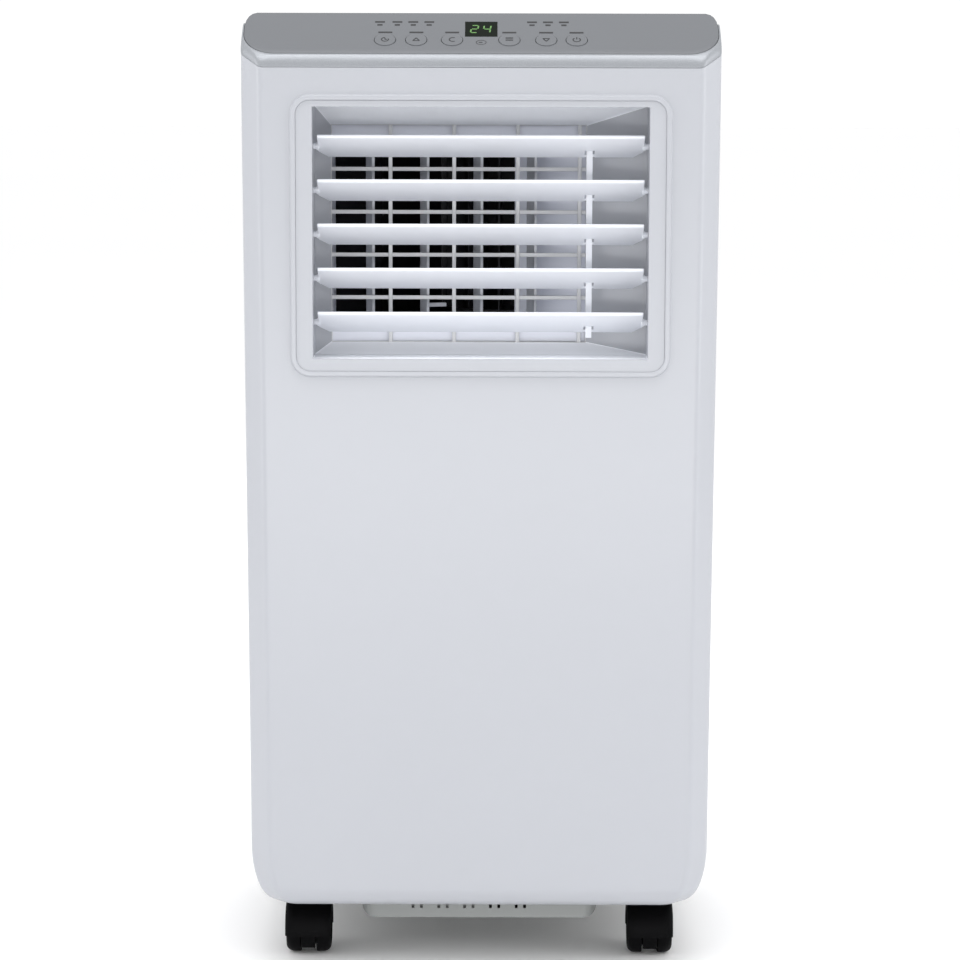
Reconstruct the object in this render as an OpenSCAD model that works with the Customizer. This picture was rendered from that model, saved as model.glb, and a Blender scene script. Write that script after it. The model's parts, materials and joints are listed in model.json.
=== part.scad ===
// Portable air conditioner: housing, louvres, swing vanes, cooling and exhaust
// air paths, refrigerant parts and casters, all separate pieces.
// Millimetres. Origin on the floor under the middle; front faces -Y; +Z up.

/* [Housing] */
// Width across the side walls at the top
body_w = 330; // [326:0.5:334]
// Overall height from the floor to the top panel
body_h = 670; // [666:1:674]
// Front wall plane
front_y = -142; // [-143:0.5:-141]
// Rear wall plane
rear_y = 136; // [135:0.5:137]
// Wall thickness of the moulded shells
wall = 2.6; // [2.2:0.1:3]
// How much narrower each side is at the bottom than at the top
side_taper = 3.7; // [3:0.1:4.2]
// Height of the lower edge of the shells
shell_z = 43.5; // [43.5:0.5:44.5]
// Height of the front seam under the top cover
seam_z = 633; // [632:0.5:634]

/* [Top cover] */
// Slope of the control panel above the horizontal, degrees
panel_slope = 32; // [30:0.5:33]
// Height of the side seam behind the slope
shoulder_z = 658; // [656:0.5:658]
// Diameter of a push button
button_d = 14.5; // [13:0.5:15.5]

/* [Louvre] */
// Width of the air outlet opening
outlet_w = 231; // [229:1:232]
// Lowest edge of the air outlet opening
outlet_low = 433.5; // [433:0.5:434]
// Highest edge of the air outlet opening
outlet_high = 606.6; // [606:0.2:607]
// Number of horizontal blades
blade_count = 5; // [5:1:5]
// Height between blade pivots
blade_pitch = 30.4; // [30:0.1:30.8]
// Front-to-back width of a blade
blade_chord = 30; // [28:0.5:30]
// Blade thickness
blade_t = 2; // [1.8:0.1:2.2]
// Front edge of each blade above the level, degrees
blade_tilt = 30; // [20:1:35]
// Rear edge of each vane turned to the left, degrees
vane_tilt = 15; // [10:1:20]

/* [Casters] */
// Wheel diameter
wheel_d = 36; // [34:0.5:36]
// Distance of each caster from the middle plane
caster_x = 122.5; // [121:0.5:123]
// Distance from swivel axis to wheel axle
caster_trail = 12; // [10:0.5:12]

/* [Exhaust] */
// Inside radius of the hose outlet collar
exhaust_r = 66; // [60:1:67]
// Sideways place of the hose outlet
exhaust_x = 31; // [30:0.5:32]
// Height of the hose outlet's axis
exhaust_z = 215; // [213:1:217]

/* [Hidden] */
$fn = 48;
eps = 0.01;

half_w = body_w / 2;
chamfer_x = 13.4;
chamfer_y = 14;
rear_r = 26;
foot_corner_w = 19;
foot_corner_h = 42;
foot_edge_r = 14;
split_y = -60;
rear_split_y = 104;
seam_gap = 0.15;
run_fit = 0.08;

rim_z = 636.3;           // top cover plane carried forward to the front wall
panel_z = 640.3;         // panel plane carried forward to the front wall
panel_front = front_y + 5;
panel_corner = 22;
panel_inset = 1.4;
panel_drop = 2.4;        // underside of the panel below its sloped face
ledge_z = 660.4;         // ledge of the cover under the level part of the panel
button_x = [-66, -44.6, -20, 19.3, 44.6, 65.5];
button_y = -123.9;
display_y = -112;
board_y = -117;

aperture_x = 127;
aperture_low = 425;
aperture_high = 611;
aperture_r = 10;
border = 3.7;
border_t = 2;

pivot_top = 579;
pivot_y = -122;
pivot_r = 2;
blade_half = 112.5;
notch_x = 75.2;
notch_w = 7;
crank = 13;
crank_pin_r = 1;
link_w = 4.2;
link_d = 4;

duct_x0 = -105;
duct_x1 = 74;
duct_low = 449.5;
duct_high = 584;
grid_low = 440.5;        // opening behind the blades, taller than the duct
grid_high = 593;
duct_front = -87.8;
duct_back = -44;         // left end of the duct, where the scroll opens into it
duct_back_x = -104;
tongue_x = 24;
tongue_y = -53.6;        // right end of the duct, at the scroll's tongue
guard_y = -91;
vane_x = [-77.9, -39.5, -1.7, 36.1];
vane_y = -76;
vane_front = 9;
vane_back = 11;
vane_pin_r = 1.5;
tab_low = 464.4;         // finger tab on the second vane
tab_reach = 14.8;

cool_axis = [25, 12];
cool_r = 56;
warm_axis = [85, -15];
warm_r = 50;

plate_low = 43.6;
plate_high = 47.6;
fork_y = [-84, 90];
stem_r = 4;
axle_r = 3;
web = 5;

shell_white = [0.88, 0.89, 0.91];
silver = [0.66, 0.68, 0.70];
panel_grey = [0.55, 0.56, 0.58];
inner_grey = [0.62, 0.63, 0.66];
black = [0.07, 0.07, 0.08];
metal = [0.72, 0.73, 0.75];
copper = [0.75, 0.45, 0.30];

// ---------- shared shapes ----------

// Plan outline of the housing: chamfered front corners, round rear corners.
function outline(hw, front, rear, inset) =
  let (w = hw - inset, f = front + inset, b = rear - inset,
       r = rear_r - inset, cx = chamfer_x - 0.41 * inset,
       cy = chamfer_y - 0.41 * inset)
  concat(
    [[-w, f + cy], [-w + cx, f], [w - cx, f], [w, f + cy]],
    [for (a = [0:15:90]) [w - r + r * cos(a), b - r + r * sin(a)]],
    [for (a = [90:15:180]) [-w + r + r * cos(a), b - r + r * sin(a)]]);

// How far a quarter-ellipse corner of height h and width w cuts in at height z.
function corner_cut(z, h, w) =
  let (u = min(1, max(0, (shell_z + h - z) / h))) w * (1 - sqrt(1 - u * u));

function half_width(z) =
  half_w - side_taper * max(0, seam_z - z) / (seam_z - shell_z)
  - corner_cut(z, foot_corner_h, foot_corner_w);

// Convex housing solid, drawn in by inset; raised keeps floor-side thickness.
module housing(inset, raised, low, high)
{
  levels = [0, 0.6, 2.2, 5, 9, 14, 20, 28, 42];
  hull()
  {
    for (d = levels)
      let (z = shell_z + d, cut = corner_cut(z, foot_edge_r, foot_edge_r))
        translate([0, 0, z + raised])
          linear_extrude(eps)
            polygon(outline(half_width(z), front_y + cut, rear_y - cut, inset));
    translate([0, 0, high])
      linear_extrude(eps)
        polygon(outline(half_width(high), front_y, rear_y, inset));
    translate([0, 0, low])
      linear_extrude(eps)
        let (cut = foot_edge_r)
          polygon(outline(half_width(shell_z), front_y + cut, rear_y - cut,
                          inset));
  }
}

// Everything under a roof that rises at the panel slope from height z0 at the
// front wall to the level height z1.
module under_roof(z0, z1)
{
  kink = front_y + (z1 - z0) / tan(panel_slope);
  rotate([90, 0, 90])
    translate([0, 0, -250])
      linear_extrude(500)
        polygon([[front_y - 60, z0 - 60 * tan(panel_slope)], [kink, z1],
                 [260, z1], [260, -10], [front_y - 60, -10]]);
}

// Flat rounded bar standing in the XZ plane from y0 to y1.
module upright_plate(x0, x1, z0, z1, r, y0, y1)
{
  translate([0, y1, 0])
    rotate([90, 0, 0])
      linear_extrude(y1 - y0)
        round_rect(x0, x1, z0, z1, r);
}

module round_rect(x0, x1, y0, y1, r)
{
  translate([x0 + r, y0])
    square([x1 - x0 - 2 * r, y1 - y0]);
  translate([x0, y0 + r])
    square([x1 - x0, y1 - y0 - 2 * r]);
  for (x = [x0 + r, x1 - r], y = [y0 + r, y1 - r])
    translate([x, y])
      circle(r);
}

// Box given by its two corners.
module block(low, high)
{
  translate(low)
    cube(high - low);
}

module along_x(x0, x1, y, z, r)
{
  translate([x0, y, z])
    rotate([0, 90, 0])
      cylinder(h = x1 - x0, r = r);
}

module along_y(x, z, y0, y1, r)
{
  translate([x, y0, z])
    rotate([-90, 0, 0])
      cylinder(h = y1 - y0, r = r);
}

module up(x, y, z0, z1, r)
{
  translate([x, y, z0])
    cylinder(h = z1 - z0, r = r);
}

// ---------- housing ----------

screw_x = 133;
screw_z = [90, 235, 340, 480, 620];
module screw_holes(r)
{
  for (side = [-1, 1], z = screw_z)
    along_y(side * screw_x, z, rear_y - 12, rear_y + 3, r);
}

module front_shell()
{
  color(shell_white)
  {
    difference()
    {
      intersection()
      {
        housing(0, 0, shell_z, 662);
        under_roof(seam_z, shoulder_z);
        block([-200, -200, 0], [200, split_y - seam_gap, 700]);
      }
      housing(wall, 2, shell_z - 3, 664);
      upright_plate(-aperture_x, aperture_x, aperture_low, aperture_high,
                    aperture_r, front_y - 5, front_y + 10);
    }
    difference()
    {
      upright_plate(-aperture_x - border, aperture_x + border,
                    aperture_low - border, aperture_high + border,
                    aperture_r + border, front_y - border_t, front_y + 1);
      upright_plate(-aperture_x, aperture_x, aperture_low, aperture_high,
                    aperture_r, front_y - 5, front_y + 10);
    }
  }
}

intake_x = 103;
intake_low = 372;
intake_high = 588;
handle_low = 560;
handle_high = 604;
handle_y0 = 14;
handle_y1 = 94;
grille_x0 = -126;
grille_x1 = -48;
grille_low = 78;
grille_high = 300;
upper_drain = [-96, 356];
lower_drain = [20, 69];
plug_r = 8;
gland = [118, 96];

// Moulded wall of the housing between two planes across its depth.
module wall_between(y0, y1)
{
  difference()
  {
    intersection()
    {
      housing(0, 0, shell_z, 662);
      under_roof(seam_z, shoulder_z);
      block([-200, y0, 0], [200, y1, 700]);
    }
    housing(wall, 2, shell_z - 3, 664);
  }
}

module side_panel(side)
{
  color(shell_white)
    difference()
    {
      intersection()
      {
        wall_between(split_y + seam_gap, rear_split_y - seam_gap);
        block([side > 0 ? 0 : -200, -200, 0], [side > 0 ? 200 : 0, 200, 700]);
      }
      block([-200, handle_y0, handle_low], [200, handle_y1, handle_high]);
    }
}

module rear_panel()
{
  y0 = rear_y - 12;
  y1 = rear_y + 5;
  color(shell_white)
    difference()
    {
      wall_between(rear_split_y + seam_gap, 200);
      upright_plate(-intake_x, intake_x, intake_low, intake_high, 8, y0, y1);
      upright_plate(grille_x0, grille_x1, grille_low, grille_high, 8, y0, y1);
      along_y(exhaust_x, exhaust_z, y0, y1, exhaust_r + 4.2);
      for (at = [upper_drain, lower_drain])
        along_y(at[0], at[1], y0, y1, plug_r + run_fit);
      along_y(gland[0], gland[1], y0, y1, 7.2);
      screw_holes(2.1);
    }
}

module handle_cups()
{
  depth = 24;
  color(inner_grey)
    for (side = [-1, 1])
      mirror([side > 0 ? 0 : 1, 0, 0])
        difference()
        {
          block([half_w - 3 - depth, handle_y0 + 0.2, handle_low + 0.2],
                [half_w - 0.8, handle_y1 - 0.2, handle_high - 0.2]);
          block([half_w - 1 - depth, handle_y0 + 2.4, handle_low + 2.4],
                [half_w + 2, handle_y1 - 2.4, handle_high - 2.4]);
        }
}

module lower_grille()
{
  slot_pitch = 9;
  count = 23;
  y0 = rear_y - wall;
  color(shell_white)
    difference()
    {
      upright_plate(grille_x0 + 0.2, grille_x1 - 0.2, grille_low + 0.2,
                    grille_high - 0.2, 7.8, y0, rear_y - 0.4);
      for (i = [0:count - 1])
        block([grille_x0 + 6, y0 - 1, grille_low + 9 + i * slot_pitch],
              [grille_x1 - 6, rear_y + 1, grille_low + 14 + i * slot_pitch]);
    }
}

module exhaust_collar()
{
  color(shell_white)
    difference()
    {
      union()
      {
        along_y(exhaust_x, exhaust_z, 120, 144, exhaust_r + 4);
        along_y(exhaust_x, exhaust_z, rear_y + 0.05, rear_y + 2.4,
                exhaust_r + 11);
      }
      along_y(exhaust_x, exhaust_z, 110, 150, exhaust_r);
    }
}

module cord_gland()
{
  color(black)
    difference()
    {
      union()
      {
        along_y(gland[0], gland[1], rear_y - 8, rear_y + 0.05, 7);
        along_y(gland[0], gland[1], rear_y + 0.05, rear_y + 6, 10);
      }
      along_y(gland[0], gland[1], rear_y - 10, rear_y + 8, 3.6);
    }
}

module housing_screws()
{
  color(metal)
    for (side = [-1, 1], z = screw_z)
    {
      along_y(side * screw_x, z, rear_y + 0.05, rear_y + 2, 3.8);
      along_y(side * screw_x, z, rear_y - 10, rear_y + 0.05, 1.9);
    }
}

// ---------- top cover and controls ----------

// Plan prism of the top panel: straight sides and wide round front corners.
module panel_prism(grow)
{
  translate([0, 0, 600])
    linear_extrude(100)
      round_rect(-half_w + panel_inset - grow, half_w - panel_inset + grow,
                 panel_front - grow, rear_y - panel_inset - 2 + grow,
                 panel_corner + grow);
}

module cover_prism(inset)
{
  translate([0, 0, 600])
    linear_extrude(100)
      polygon(outline(half_w, front_y, rear_y, inset));
}

// Perpendicular to the sloped panel at a place on it.
module on_slope(x, y)
{
  translate([x, y, panel_z + (y - front_y) * tan(panel_slope)])
    rotate([panel_slope, 0, 0])
      children();
}

module top_cover()
{
  color(silver)
    difference()
    {
      hull()
      {
        intersection()
        {
          cover_prism(0);
          under_roof(rim_z, shoulder_z + 3.5);
        }
        intersection()
        {
          panel_prism(1.2);
          under_roof(panel_z - 1, ledge_z + 2.4);
        }
      }
      under_roof(seam_z + seam_gap, shoulder_z + seam_gap);
      intersection()
      {
        cover_prism(6);
        under_roof(panel_z - 4.2, ledge_z - 1.8);
      }
      difference()
      {
        panel_prism(0);
        under_roof(panel_z - panel_drop, ledge_z);
      }
      for (x = button_x)
        on_slope(x, button_y)
          translate([0, 0, -12])
            cylinder(h = 12, r = 3.2);
      on_slope(0, display_y)
        translate([-12, -10, -12])
          cube([24, 20, 12]);
    }
}

// Solid under the panel's skin: each layer is a plan outline drawn in by an
// inset, under its own slope and level height.
module panel_crown(layers)
{
  hull()
    for (layer = layers)
      intersection()
      {
        panel_prism(-layer[0]);
        under_roof(panel_z - layer[1], body_h - layer[2]);
      }
}

module top_panel()
{
  color(panel_grey)
    difference()
    {
      panel_crown([[0.3, 1, 8], [1, 0.6, 5.2], [2.6, 0.3, 2.6], [4.8, 0.1, 0.9],
                   [8, 0, 0]]);
      under_roof(panel_z - panel_drop, ledge_z + 0.3);
      panel_crown([[2.4, panel_drop, 8], [5, panel_drop, 4], [10, panel_drop, 2]]);
      for (x = button_x)
        on_slope(x, button_y)
          translate([0, 0, -12])
            cylinder(h = 20, d = button_d + 0.7);
      on_slope(0, display_y)
        translate([-11.2, -9.7, -1])
          cube([22.4, 19.4, 8]);
      on_slope(0, display_y)
        translate([-10, -8.5, -8])
          cube([20, 17, 12]);
    }
}

module display_window()
{
  color(black)
    on_slope(0, display_y)
    {
      translate([-11, -9.5, -0.95])
        cube([22, 19, 1.1]);
    }
}

module control_board()
{
  color([0.12, 0.35, 0.2])
    on_slope(0, board_y)
    {
      translate([-78, -14, -14])
        cube([156, 32, 1.6]);
      for (x = button_x)
        translate([x - 3, (button_y - board_y) / cos(panel_slope) - 3, -12.4])
          cube([6, 6, 2.4]);
    }
}

module button(i)
{
  color(panel_grey)
    on_slope(button_x[i], button_y)
    {
      translate([0, 0, -1.3])
        cylinder(h = 1.8, d = button_d);
      translate([0, 0, -9.3])
        cylinder(h = 8.1, r = 2.4);
    }
}

// ---------- louvre ----------

throat_y = -106;
frame_back = -91.2;

module louvre_frame()
{
  w = outlet_w / 2;
  color(shell_white)
    difference()
    {
      union()
      {
        upright_plate(-aperture_x + 0.3, aperture_x - 0.3, aperture_low + 0.3,
                      aperture_high - 0.3, aperture_r - 0.3, front_y - 1,
                      front_y + 2);
        block([-w - 2.6, front_y + 1, outlet_low - 2.6],
              [w + 2.6, frame_back, outlet_high + 2.6]);
      }
      block([-w, front_y - 5, outlet_low], [w, throat_y, outlet_high]);
      throat();
      for (i = [0:blade_count - 1])
        along_x(-w - 5, w + 5, pivot_y, pivot_top - i * blade_pitch,
                pivot_r + run_fit);
    }
}

// Funnel from the outlet opening back to the duct's mouth.
module throat()
{
  w = outlet_w / 2;
  d = throat_y - eps;
  b = frame_back + eps;
  plan = [[-w, d], [duct_x0, b], [duct_x1, b], [w, d]];
  side = [[d, outlet_low], [b, grid_low], [b, grid_high], [d, outlet_high]];
  intersection()
  {
    translate([0, 0, outlet_low])
      linear_extrude(outlet_high - outlet_low)
        polygon(plan);
    rotate([90, 0, 90])
      translate([0, 0, -150])
        linear_extrude(300)
          polygon(side);
  }
}

module guard_grid()
{
  bar = 2.7;
  frame_w = 3;
  y0 = guard_y;
  y1 = guard_y + 3;
  color([0.74, 0.74, 0.75])
  {
    difference()
    {
      block([duct_x0 - frame_w, y0, grid_low - frame_w],
            [duct_x1 + frame_w, y1, grid_high + frame_w]);
      block([duct_x0 + 0.5, y0 - 1, grid_low + 0.5],
            [duct_x1 - 0.5, y1 + 1, grid_high - 0.5]);
    }
    for (x = [-63.4, -18.8, 25.8, 69.1])
      block([x - bar / 2, y0, grid_low + 0.4],
            [x + bar / 2, y1 - 0.2, grid_high - 0.4]);
    for (z = [562:-30:472])
      block([duct_x0 + 0.4, y0 + 0.4, z - bar / 2],
            [duct_x1 - 0.4, y1, z + bar / 2]);
  }
}

// One louvre blade about its own pivot, level, front edge towards -Y.
module level_blade()
{
  c = blade_chord / 2;
  h = blade_half;
  cut = 7;
  difference()
  {
    translate([0, 0, -blade_t / 2])
      linear_extrude(blade_t)
        polygon([[-h, -c], [h, -c], [h, c - 8], [h - cut, c], [-h + cut, c],
                 [-h, c - 8]]);
    block([notch_x - notch_w / 2, crank - 8, -5],
          [notch_x + notch_w / 2, c + 5, 5]);
  }
  along_x(-h - 4.6, -h + 4, 0, 0, pivot_r);
  along_x(h - 4, h + 4.6, 0, 0, pivot_r);
  along_x(notch_x - notch_w / 2 - 1, notch_x + notch_w / 2 + 1, crank, 0,
          crank_pin_r);
}

module blade(i)
{
  color(shell_white)
    translate([0, pivot_y, pivot_top - i * blade_pitch])
      rotate([-blade_tilt, 0, 0])
        level_blade();
}

crank_dy = crank * cos(blade_tilt);
crank_dz = -crank * sin(blade_tilt);

module louvre_link()
{
  y = pivot_y + crank_dy;
  low = pivot_top - (blade_count - 1) * blade_pitch + crank_dz;
  color(shell_white)
    difference()
    {
      block([notch_x - link_w / 2, y - link_d / 2, low - 5],
            [notch_x + link_w / 2, y + link_d / 2, pivot_top + crank_dz + 5]);
      for (i = [0:blade_count - 1])
        along_x(notch_x - 10, notch_x + 10, y,
                pivot_top - i * blade_pitch + crank_dz,
                crank_pin_r + run_fit);
    }
}

// ---------- swing vanes and outlet duct ----------

vane_link_low = duct_low + 4;
vane_link_high = duct_low + 6.6;

// One swing vane about its own pivot, pointing straight out.
module straight_vane(tab)
{
  low = duct_low + 1.5;
  high = duct_high - 1.5;
  difference()
  {
    block([-0.9, -vane_front, low], [0.9, vane_back, high]);
    block([-5, vane_back - 7, low - 1], [5, vane_back + 1, low + 9]);
  }
  up(0, 0, low - 3.2, low + 2, vane_pin_r);
  up(0, 0, high - 2, high + 3.2, vane_pin_r);
  up(0, vane_back - 3, low + 1.7, low + 9.5, 1);
  if (tab)
    block([0.5, -3, tab_low], [tab_reach, 0, tab_low + 2.6]);
}

module vane(i)
{
  color(shell_white)
    translate([vane_x[i], vane_y, 0])
      rotate([0, 0, vane_tilt])
        straight_vane(i == 1);
}

vane_pin_reach = vane_back - 3;
vane_pin_dx = -vane_pin_reach * sin(vane_tilt);
vane_pin_dy = vane_pin_reach * cos(vane_tilt);

module vane_link()
{
  y = vane_y + vane_pin_dy;
  color(inner_grey)
    difference()
    {
      block([vane_x[0] + vane_pin_dx - 3, y - 2.2, vane_link_low],
            [vane_x[3] + vane_pin_dx + 3, y + 2.2, vane_link_high]);
      for (x = vane_x)
        up(x + vane_pin_dx, y, 440, 460, 1 + run_fit);
    }
}

// Duct from the guard back to the scroll, with a flange that closes the
// guard's top and bottom.
module outlet_duct()
{
  t = 2.6;
  color(inner_grey)
    difference()
    {
      union()
      {
        translate([0, 0, duct_low - t])
          linear_extrude(duct_high - duct_low + 2 * t)
            polygon([[duct_x0 - t, duct_front], [duct_x1 + t, duct_front],
                     [duct_x1 + t, -78], [tongue_x + t, tongue_y + 1.6],
                     [tongue_x, tongue_y + 1.6], [duct_back_x - t, duct_back]]);
        block([duct_x0 - t, duct_front, grid_low - t],
              [duct_x1 + t, duct_front + 2, grid_high + t]);
      }
      translate([0, 0, duct_low])
        linear_extrude(duct_high - duct_low)
          polygon([[duct_x0, duct_front - 1], [duct_x1, duct_front - 1],
                   [duct_x1, -79.5], [tongue_x, tongue_y],
                   [tongue_x, tongue_y + 3], [duct_back_x, duct_back + 3]]);
      for (x = vane_x)
        up(x, vane_y, duct_low - 5, duct_high + 5, vane_pin_r + run_fit);
    }
}

// Spiral wall outline about [0, 0]: radius grows from r0 at angle a0 to a1.
function spiral(r0, growth, a0, a1, t) =
  concat(
    [for (a = [a0:5:a1]) (r0 + growth * (a - a0) + t) * [cos(a), sin(a)]],
    [for (a = [a1:-5:a0]) (r0 + growth * (a - a0)) * [cos(a), sin(a)]]);

cool_r0 = 60;
cool_growth = 0.14;
cool_end = cool_r0 + cool_growth * 270;

module upper_scroll()
{
  t = 2.6;
  floor_plan = concat(
    [for (a = [-90:5:180]) cool_axis + (cool_r0 + cool_growth * (a + 90) + t)
      * [cos(a), sin(a)]],
    [[duct_back_x - t, duct_back + 0.3], [tongue_x, tongue_y + 2]]);
  color([0.25, 0.25, 0.27])
  {
    difference()
    {
      union()
      {
        translate([0, 0, duct_low - t])
          linear_extrude(t)
            polygon(floor_plan);
        translate([0, 0, duct_high])
          linear_extrude(t)
            polygon(floor_plan);
      }
      up(cool_axis[0], cool_axis[1], duct_low - 5, duct_low + 5, 14);
      up(cool_axis[0], cool_axis[1], duct_high - 5, duct_high + 5, cool_r - 8);
    }
    translate([0, 0, duct_low - 0.5])
      linear_extrude(duct_high - duct_low + 1)
      {
        translate(cool_axis)
          polygon(spiral(cool_r0, cool_growth, -90, 180, t));
        polygon([[cool_axis[0] - cool_end - t, cool_axis[1]],
                 [cool_axis[0] - cool_end, cool_axis[1]],
                 [duct_back_x, duct_back + 0.3],
                 [duct_back_x - t, duct_back + 0.3]]);
      }
  }
}

// Blower wheel: hub disc, ring of blades and an end ring.
module blower_wheel(axis, r, low, high, shaft_r, bore_low)
{
  count = 28;
  color(black)
    translate([axis[0], axis[1], 0])
    {
      difference()
      {
        union()
        {
          translate([0, 0, low])
            cylinder(h = 3, r = r - 1);
          translate([0, 0, low])
            cylinder(h = 24, r = 9);
        }
        translate([0, 0, low - 1])
          cylinder(h = bore_low, r = shaft_r + 0.05);
      }
      difference()
      {
        translate([0, 0, high - 4])
          cylinder(h = 4, r = r);
        translate([0, 0, high - 5])
          cylinder(h = 6, r = r - 9);
      }
      for (i = [0:count - 1])
        rotate([0, 0, i * 360 / count])
          translate([r - 8, -0.6, low + 2.5])
            cube([6.6, 1.2, high - low - 5]);
    }
}

wheel_low = 456;
wheel_high = 576;
warm_low = 160;
warm_high = 262;

module cooling_blower_wheel()
{
  blower_wheel(cool_axis, cool_r, wheel_low, wheel_high, 4, 20);
}

module exhaust_blower_wheel()
{
  translate([0, 0, warm_low + warm_high])
    mirror([0, 0, 1])
      blower_wheel(warm_axis, warm_r, warm_low, warm_high, 4, 20);
}

module motor(axis, r, low, high, shaft_low, shaft_high)
{
  color(metal)
  {
    up(axis[0], axis[1], low, high, r);
    up(axis[0], axis[1], shaft_low, shaft_high, 4);
    for (a = [45:90:315])
      translate([axis[0], axis[1], low])
        rotate([0, 0, a])
          translate([r - 2, -4, 0])
            cube([12, 8, 3]);
  }
}

deck_z = 340;
deck_t = 3.6;

module upper_motor()
{
  motor(cool_axis, 40, deck_z + deck_t, 434, 430, wheel_low + 18);
}

module exhaust_motor()
{
  motor(warm_axis, 34, 284.6, 334, warm_high - 18, 290);
}

// ---------- heat exchangers and refrigerant circuit ----------

// Finned block with end plates and return bends at both ends.
module coil(x0, x1, y0, y1, z0, z1, rows)
{
  pitch = (z1 - z0) / rows;
  mid = (y0 + y1) / 2;
  color(metal)
  {
    block([x0 + 3, y0, z0], [x1 - 3, y1, z1]);
    for (x = [x0 + 1.5, x1 - 3])
      block([x, y0 - 1.5, z0], [x + 1.5, y1 + 1.5, z1]);
  }
  color(copper)
    for (i = [0:rows - 1])
      let (z = z0 + (i + 0.5) * pitch)
      {
        translate([x0 + 1.5, mid, z])
          return_bend(-1);
        translate([x1 - 1.5, mid, z])
          return_bend(1);
      }
}

module return_bend(side)
{
  rotate([0, 0, side > 0 ? -90 : 90])
    rotate_extrude(angle = 180)
      translate([6, 0])
        circle(r = 3, $fn = 16);
}

module evaporator_coil()
{
  coil(-108, 108, 103, 123, 374, 590, 9);
}

module condenser_coil()
{
  coil(-148, -52, 102, 124, 64, 312, 10);
}

module drain_tray()
{
  spout = upper_drain;
  color(inner_grey)
    difference()
    {
      union()
      {
        block([-120, 97, 346], [120, 127, 370]);
        along_y(spout[0], spout[1], 126, 132.8, 10);
      }
      block([-117.6, 99.4, 348.4], [117.6, 124.6, 372]);
      along_y(spout[0], spout[1], 120, 140, plug_r + run_fit);
    }
}

module partition_deck()
{
  color(inner_grey)
    difference()
    {
      block([-150, -132, deck_z], [150, 126, deck_z + deck_t]);
      block([-151, 30, deck_z - 1], [-124, 96, deck_z + 5]);
      for (x = [-150, 150], y = [-132, 126])
        translate([x, y, deck_z - 1])
          rotate([0, 0, 45])
            cube([30, 30, 14], center = true);
      for (x = [-150, 150])
        translate([x, -132, deck_z - 1])
          rotate([0, 0, 45])
            cube([40, 40, 14], center = true);
    }
}

warm_r0 = 54;
warm_growth = 0.12;

module lower_scroll()
{
  t = 2.6;
  low = 148;
  high = 282;
  end_r = warm_r0 + warm_growth * 290;
  left = warm_axis[0] - end_r;
  wide = exhaust_r + 2;
  outer = [for (a = [100:-5:-180]) warm_axis
    + (warm_r0 + warm_growth * (110 - a) + t) * [cos(a), sin(a)]];
  inner = [for (a = [110:-5:-180]) warm_axis
    + (warm_r0 + warm_growth * (110 - a)) * [cos(a), sin(a)]];
  plan = concat(outer, [[left - t, 30], [exhaust_x - wide - t, 90],
    [exhaust_x - wide - t, 119], [exhaust_x + wide + t, 119],
    [exhaust_x + wide + t, 90]]);
  hollow = concat(inner, [[left, 30], [exhaust_x - wide, 90],
    [exhaust_x - wide, 120], [exhaust_x + wide, 120],
    [exhaust_x + wide, 90]]);
  color([0.25, 0.25, 0.27])
    difference()
    {
      translate([0, 0, low - t])
        linear_extrude(high - low + 2 * t)
          polygon(plan);
      translate([0, 0, low])
        linear_extrude(high - low)
          polygon(hollow);
      up(warm_axis[0], warm_axis[1], low - 5, low + 5, warm_r - 8);
      up(warm_axis[0], warm_axis[1], high - 5, high + 5, 12);
    }
}

compressor_at = [-88, -58];
compressor_r = 44;
foot_reach = 54;
compressor_low = 66;
accumulator_at = [-118, 34];

module compressor()
{
  color(black)
  {
    up(compressor_at[0], compressor_at[1], compressor_low + 6, 220,
       compressor_r);
    translate([compressor_at[0], compressor_at[1], 220 - eps])
      cylinder(h = 14, r1 = compressor_r - 1, r2 = compressor_r - 16);
    up(compressor_at[0], compressor_at[1], 233.9, 250, 12);
    for (a = [30, 150, 270])
      translate([compressor_at[0], compressor_at[1], compressor_low])
        rotate([0, 0, a])
          difference()
          {
            union()
            {
              translate([20, -9, 0])
                cube([foot_reach - 20, 18, 6.5]);
              translate([foot_reach, 0, 0])
                cylinder(h = 6.5, r = 9);
            }
            translate([foot_reach, 0, -1])
              cylinder(h = 10, r = 4.4);
          }
    accumulator();
  }
}

// Suction accumulator and the strap that ties it to the compressor.
module accumulator()
{
  x = accumulator_at[0];
  y = accumulator_at[1];
  up(x, y, 110, 250, 22);
  up(x, y, 249.9, 262, 7);
  up(x, y, 96, 110.1, 7);
  block([x + 1, -24, 176], [x + 13, y - 15, 192]);
}

module compressor_mounts()
{
  color(black)
    for (a = [30, 150, 270])
      translate([compressor_at[0], compressor_at[1], 0])
        rotate([0, 0, a])
          translate([foot_reach, 0, 0])
          {
            translate([0, 0, plate_high])
              cylinder(h = compressor_low - plate_high, r = 7.5);
            translate([0, 0, compressor_low - 1])
              cylinder(h = 8, r = 4.3);
            translate([0, 0, compressor_low + 6.5])
              cylinder(h = 3, r = 6.5);
          }
}

function unit(v) = v / norm(v);

// Rings of a pipe: each ring is the last one slid along its straight stretch
// onto the mitre plane of the next bend.
function pipe_rings(path, ring, i = 0) =
  i == len(path) - 1 ? [ring] :
  let (d = unit(path[i + 1] - path[i]),
       next = i + 2 < len(path) ? unit(path[i + 2] - path[i + 1]) : d,
       n = d + next)
  concat([ring], pipe_rings(path,
    [for (q = ring) q + d * ((path[i + 1] - q) * n) / (d * n)], i + 1));

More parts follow.
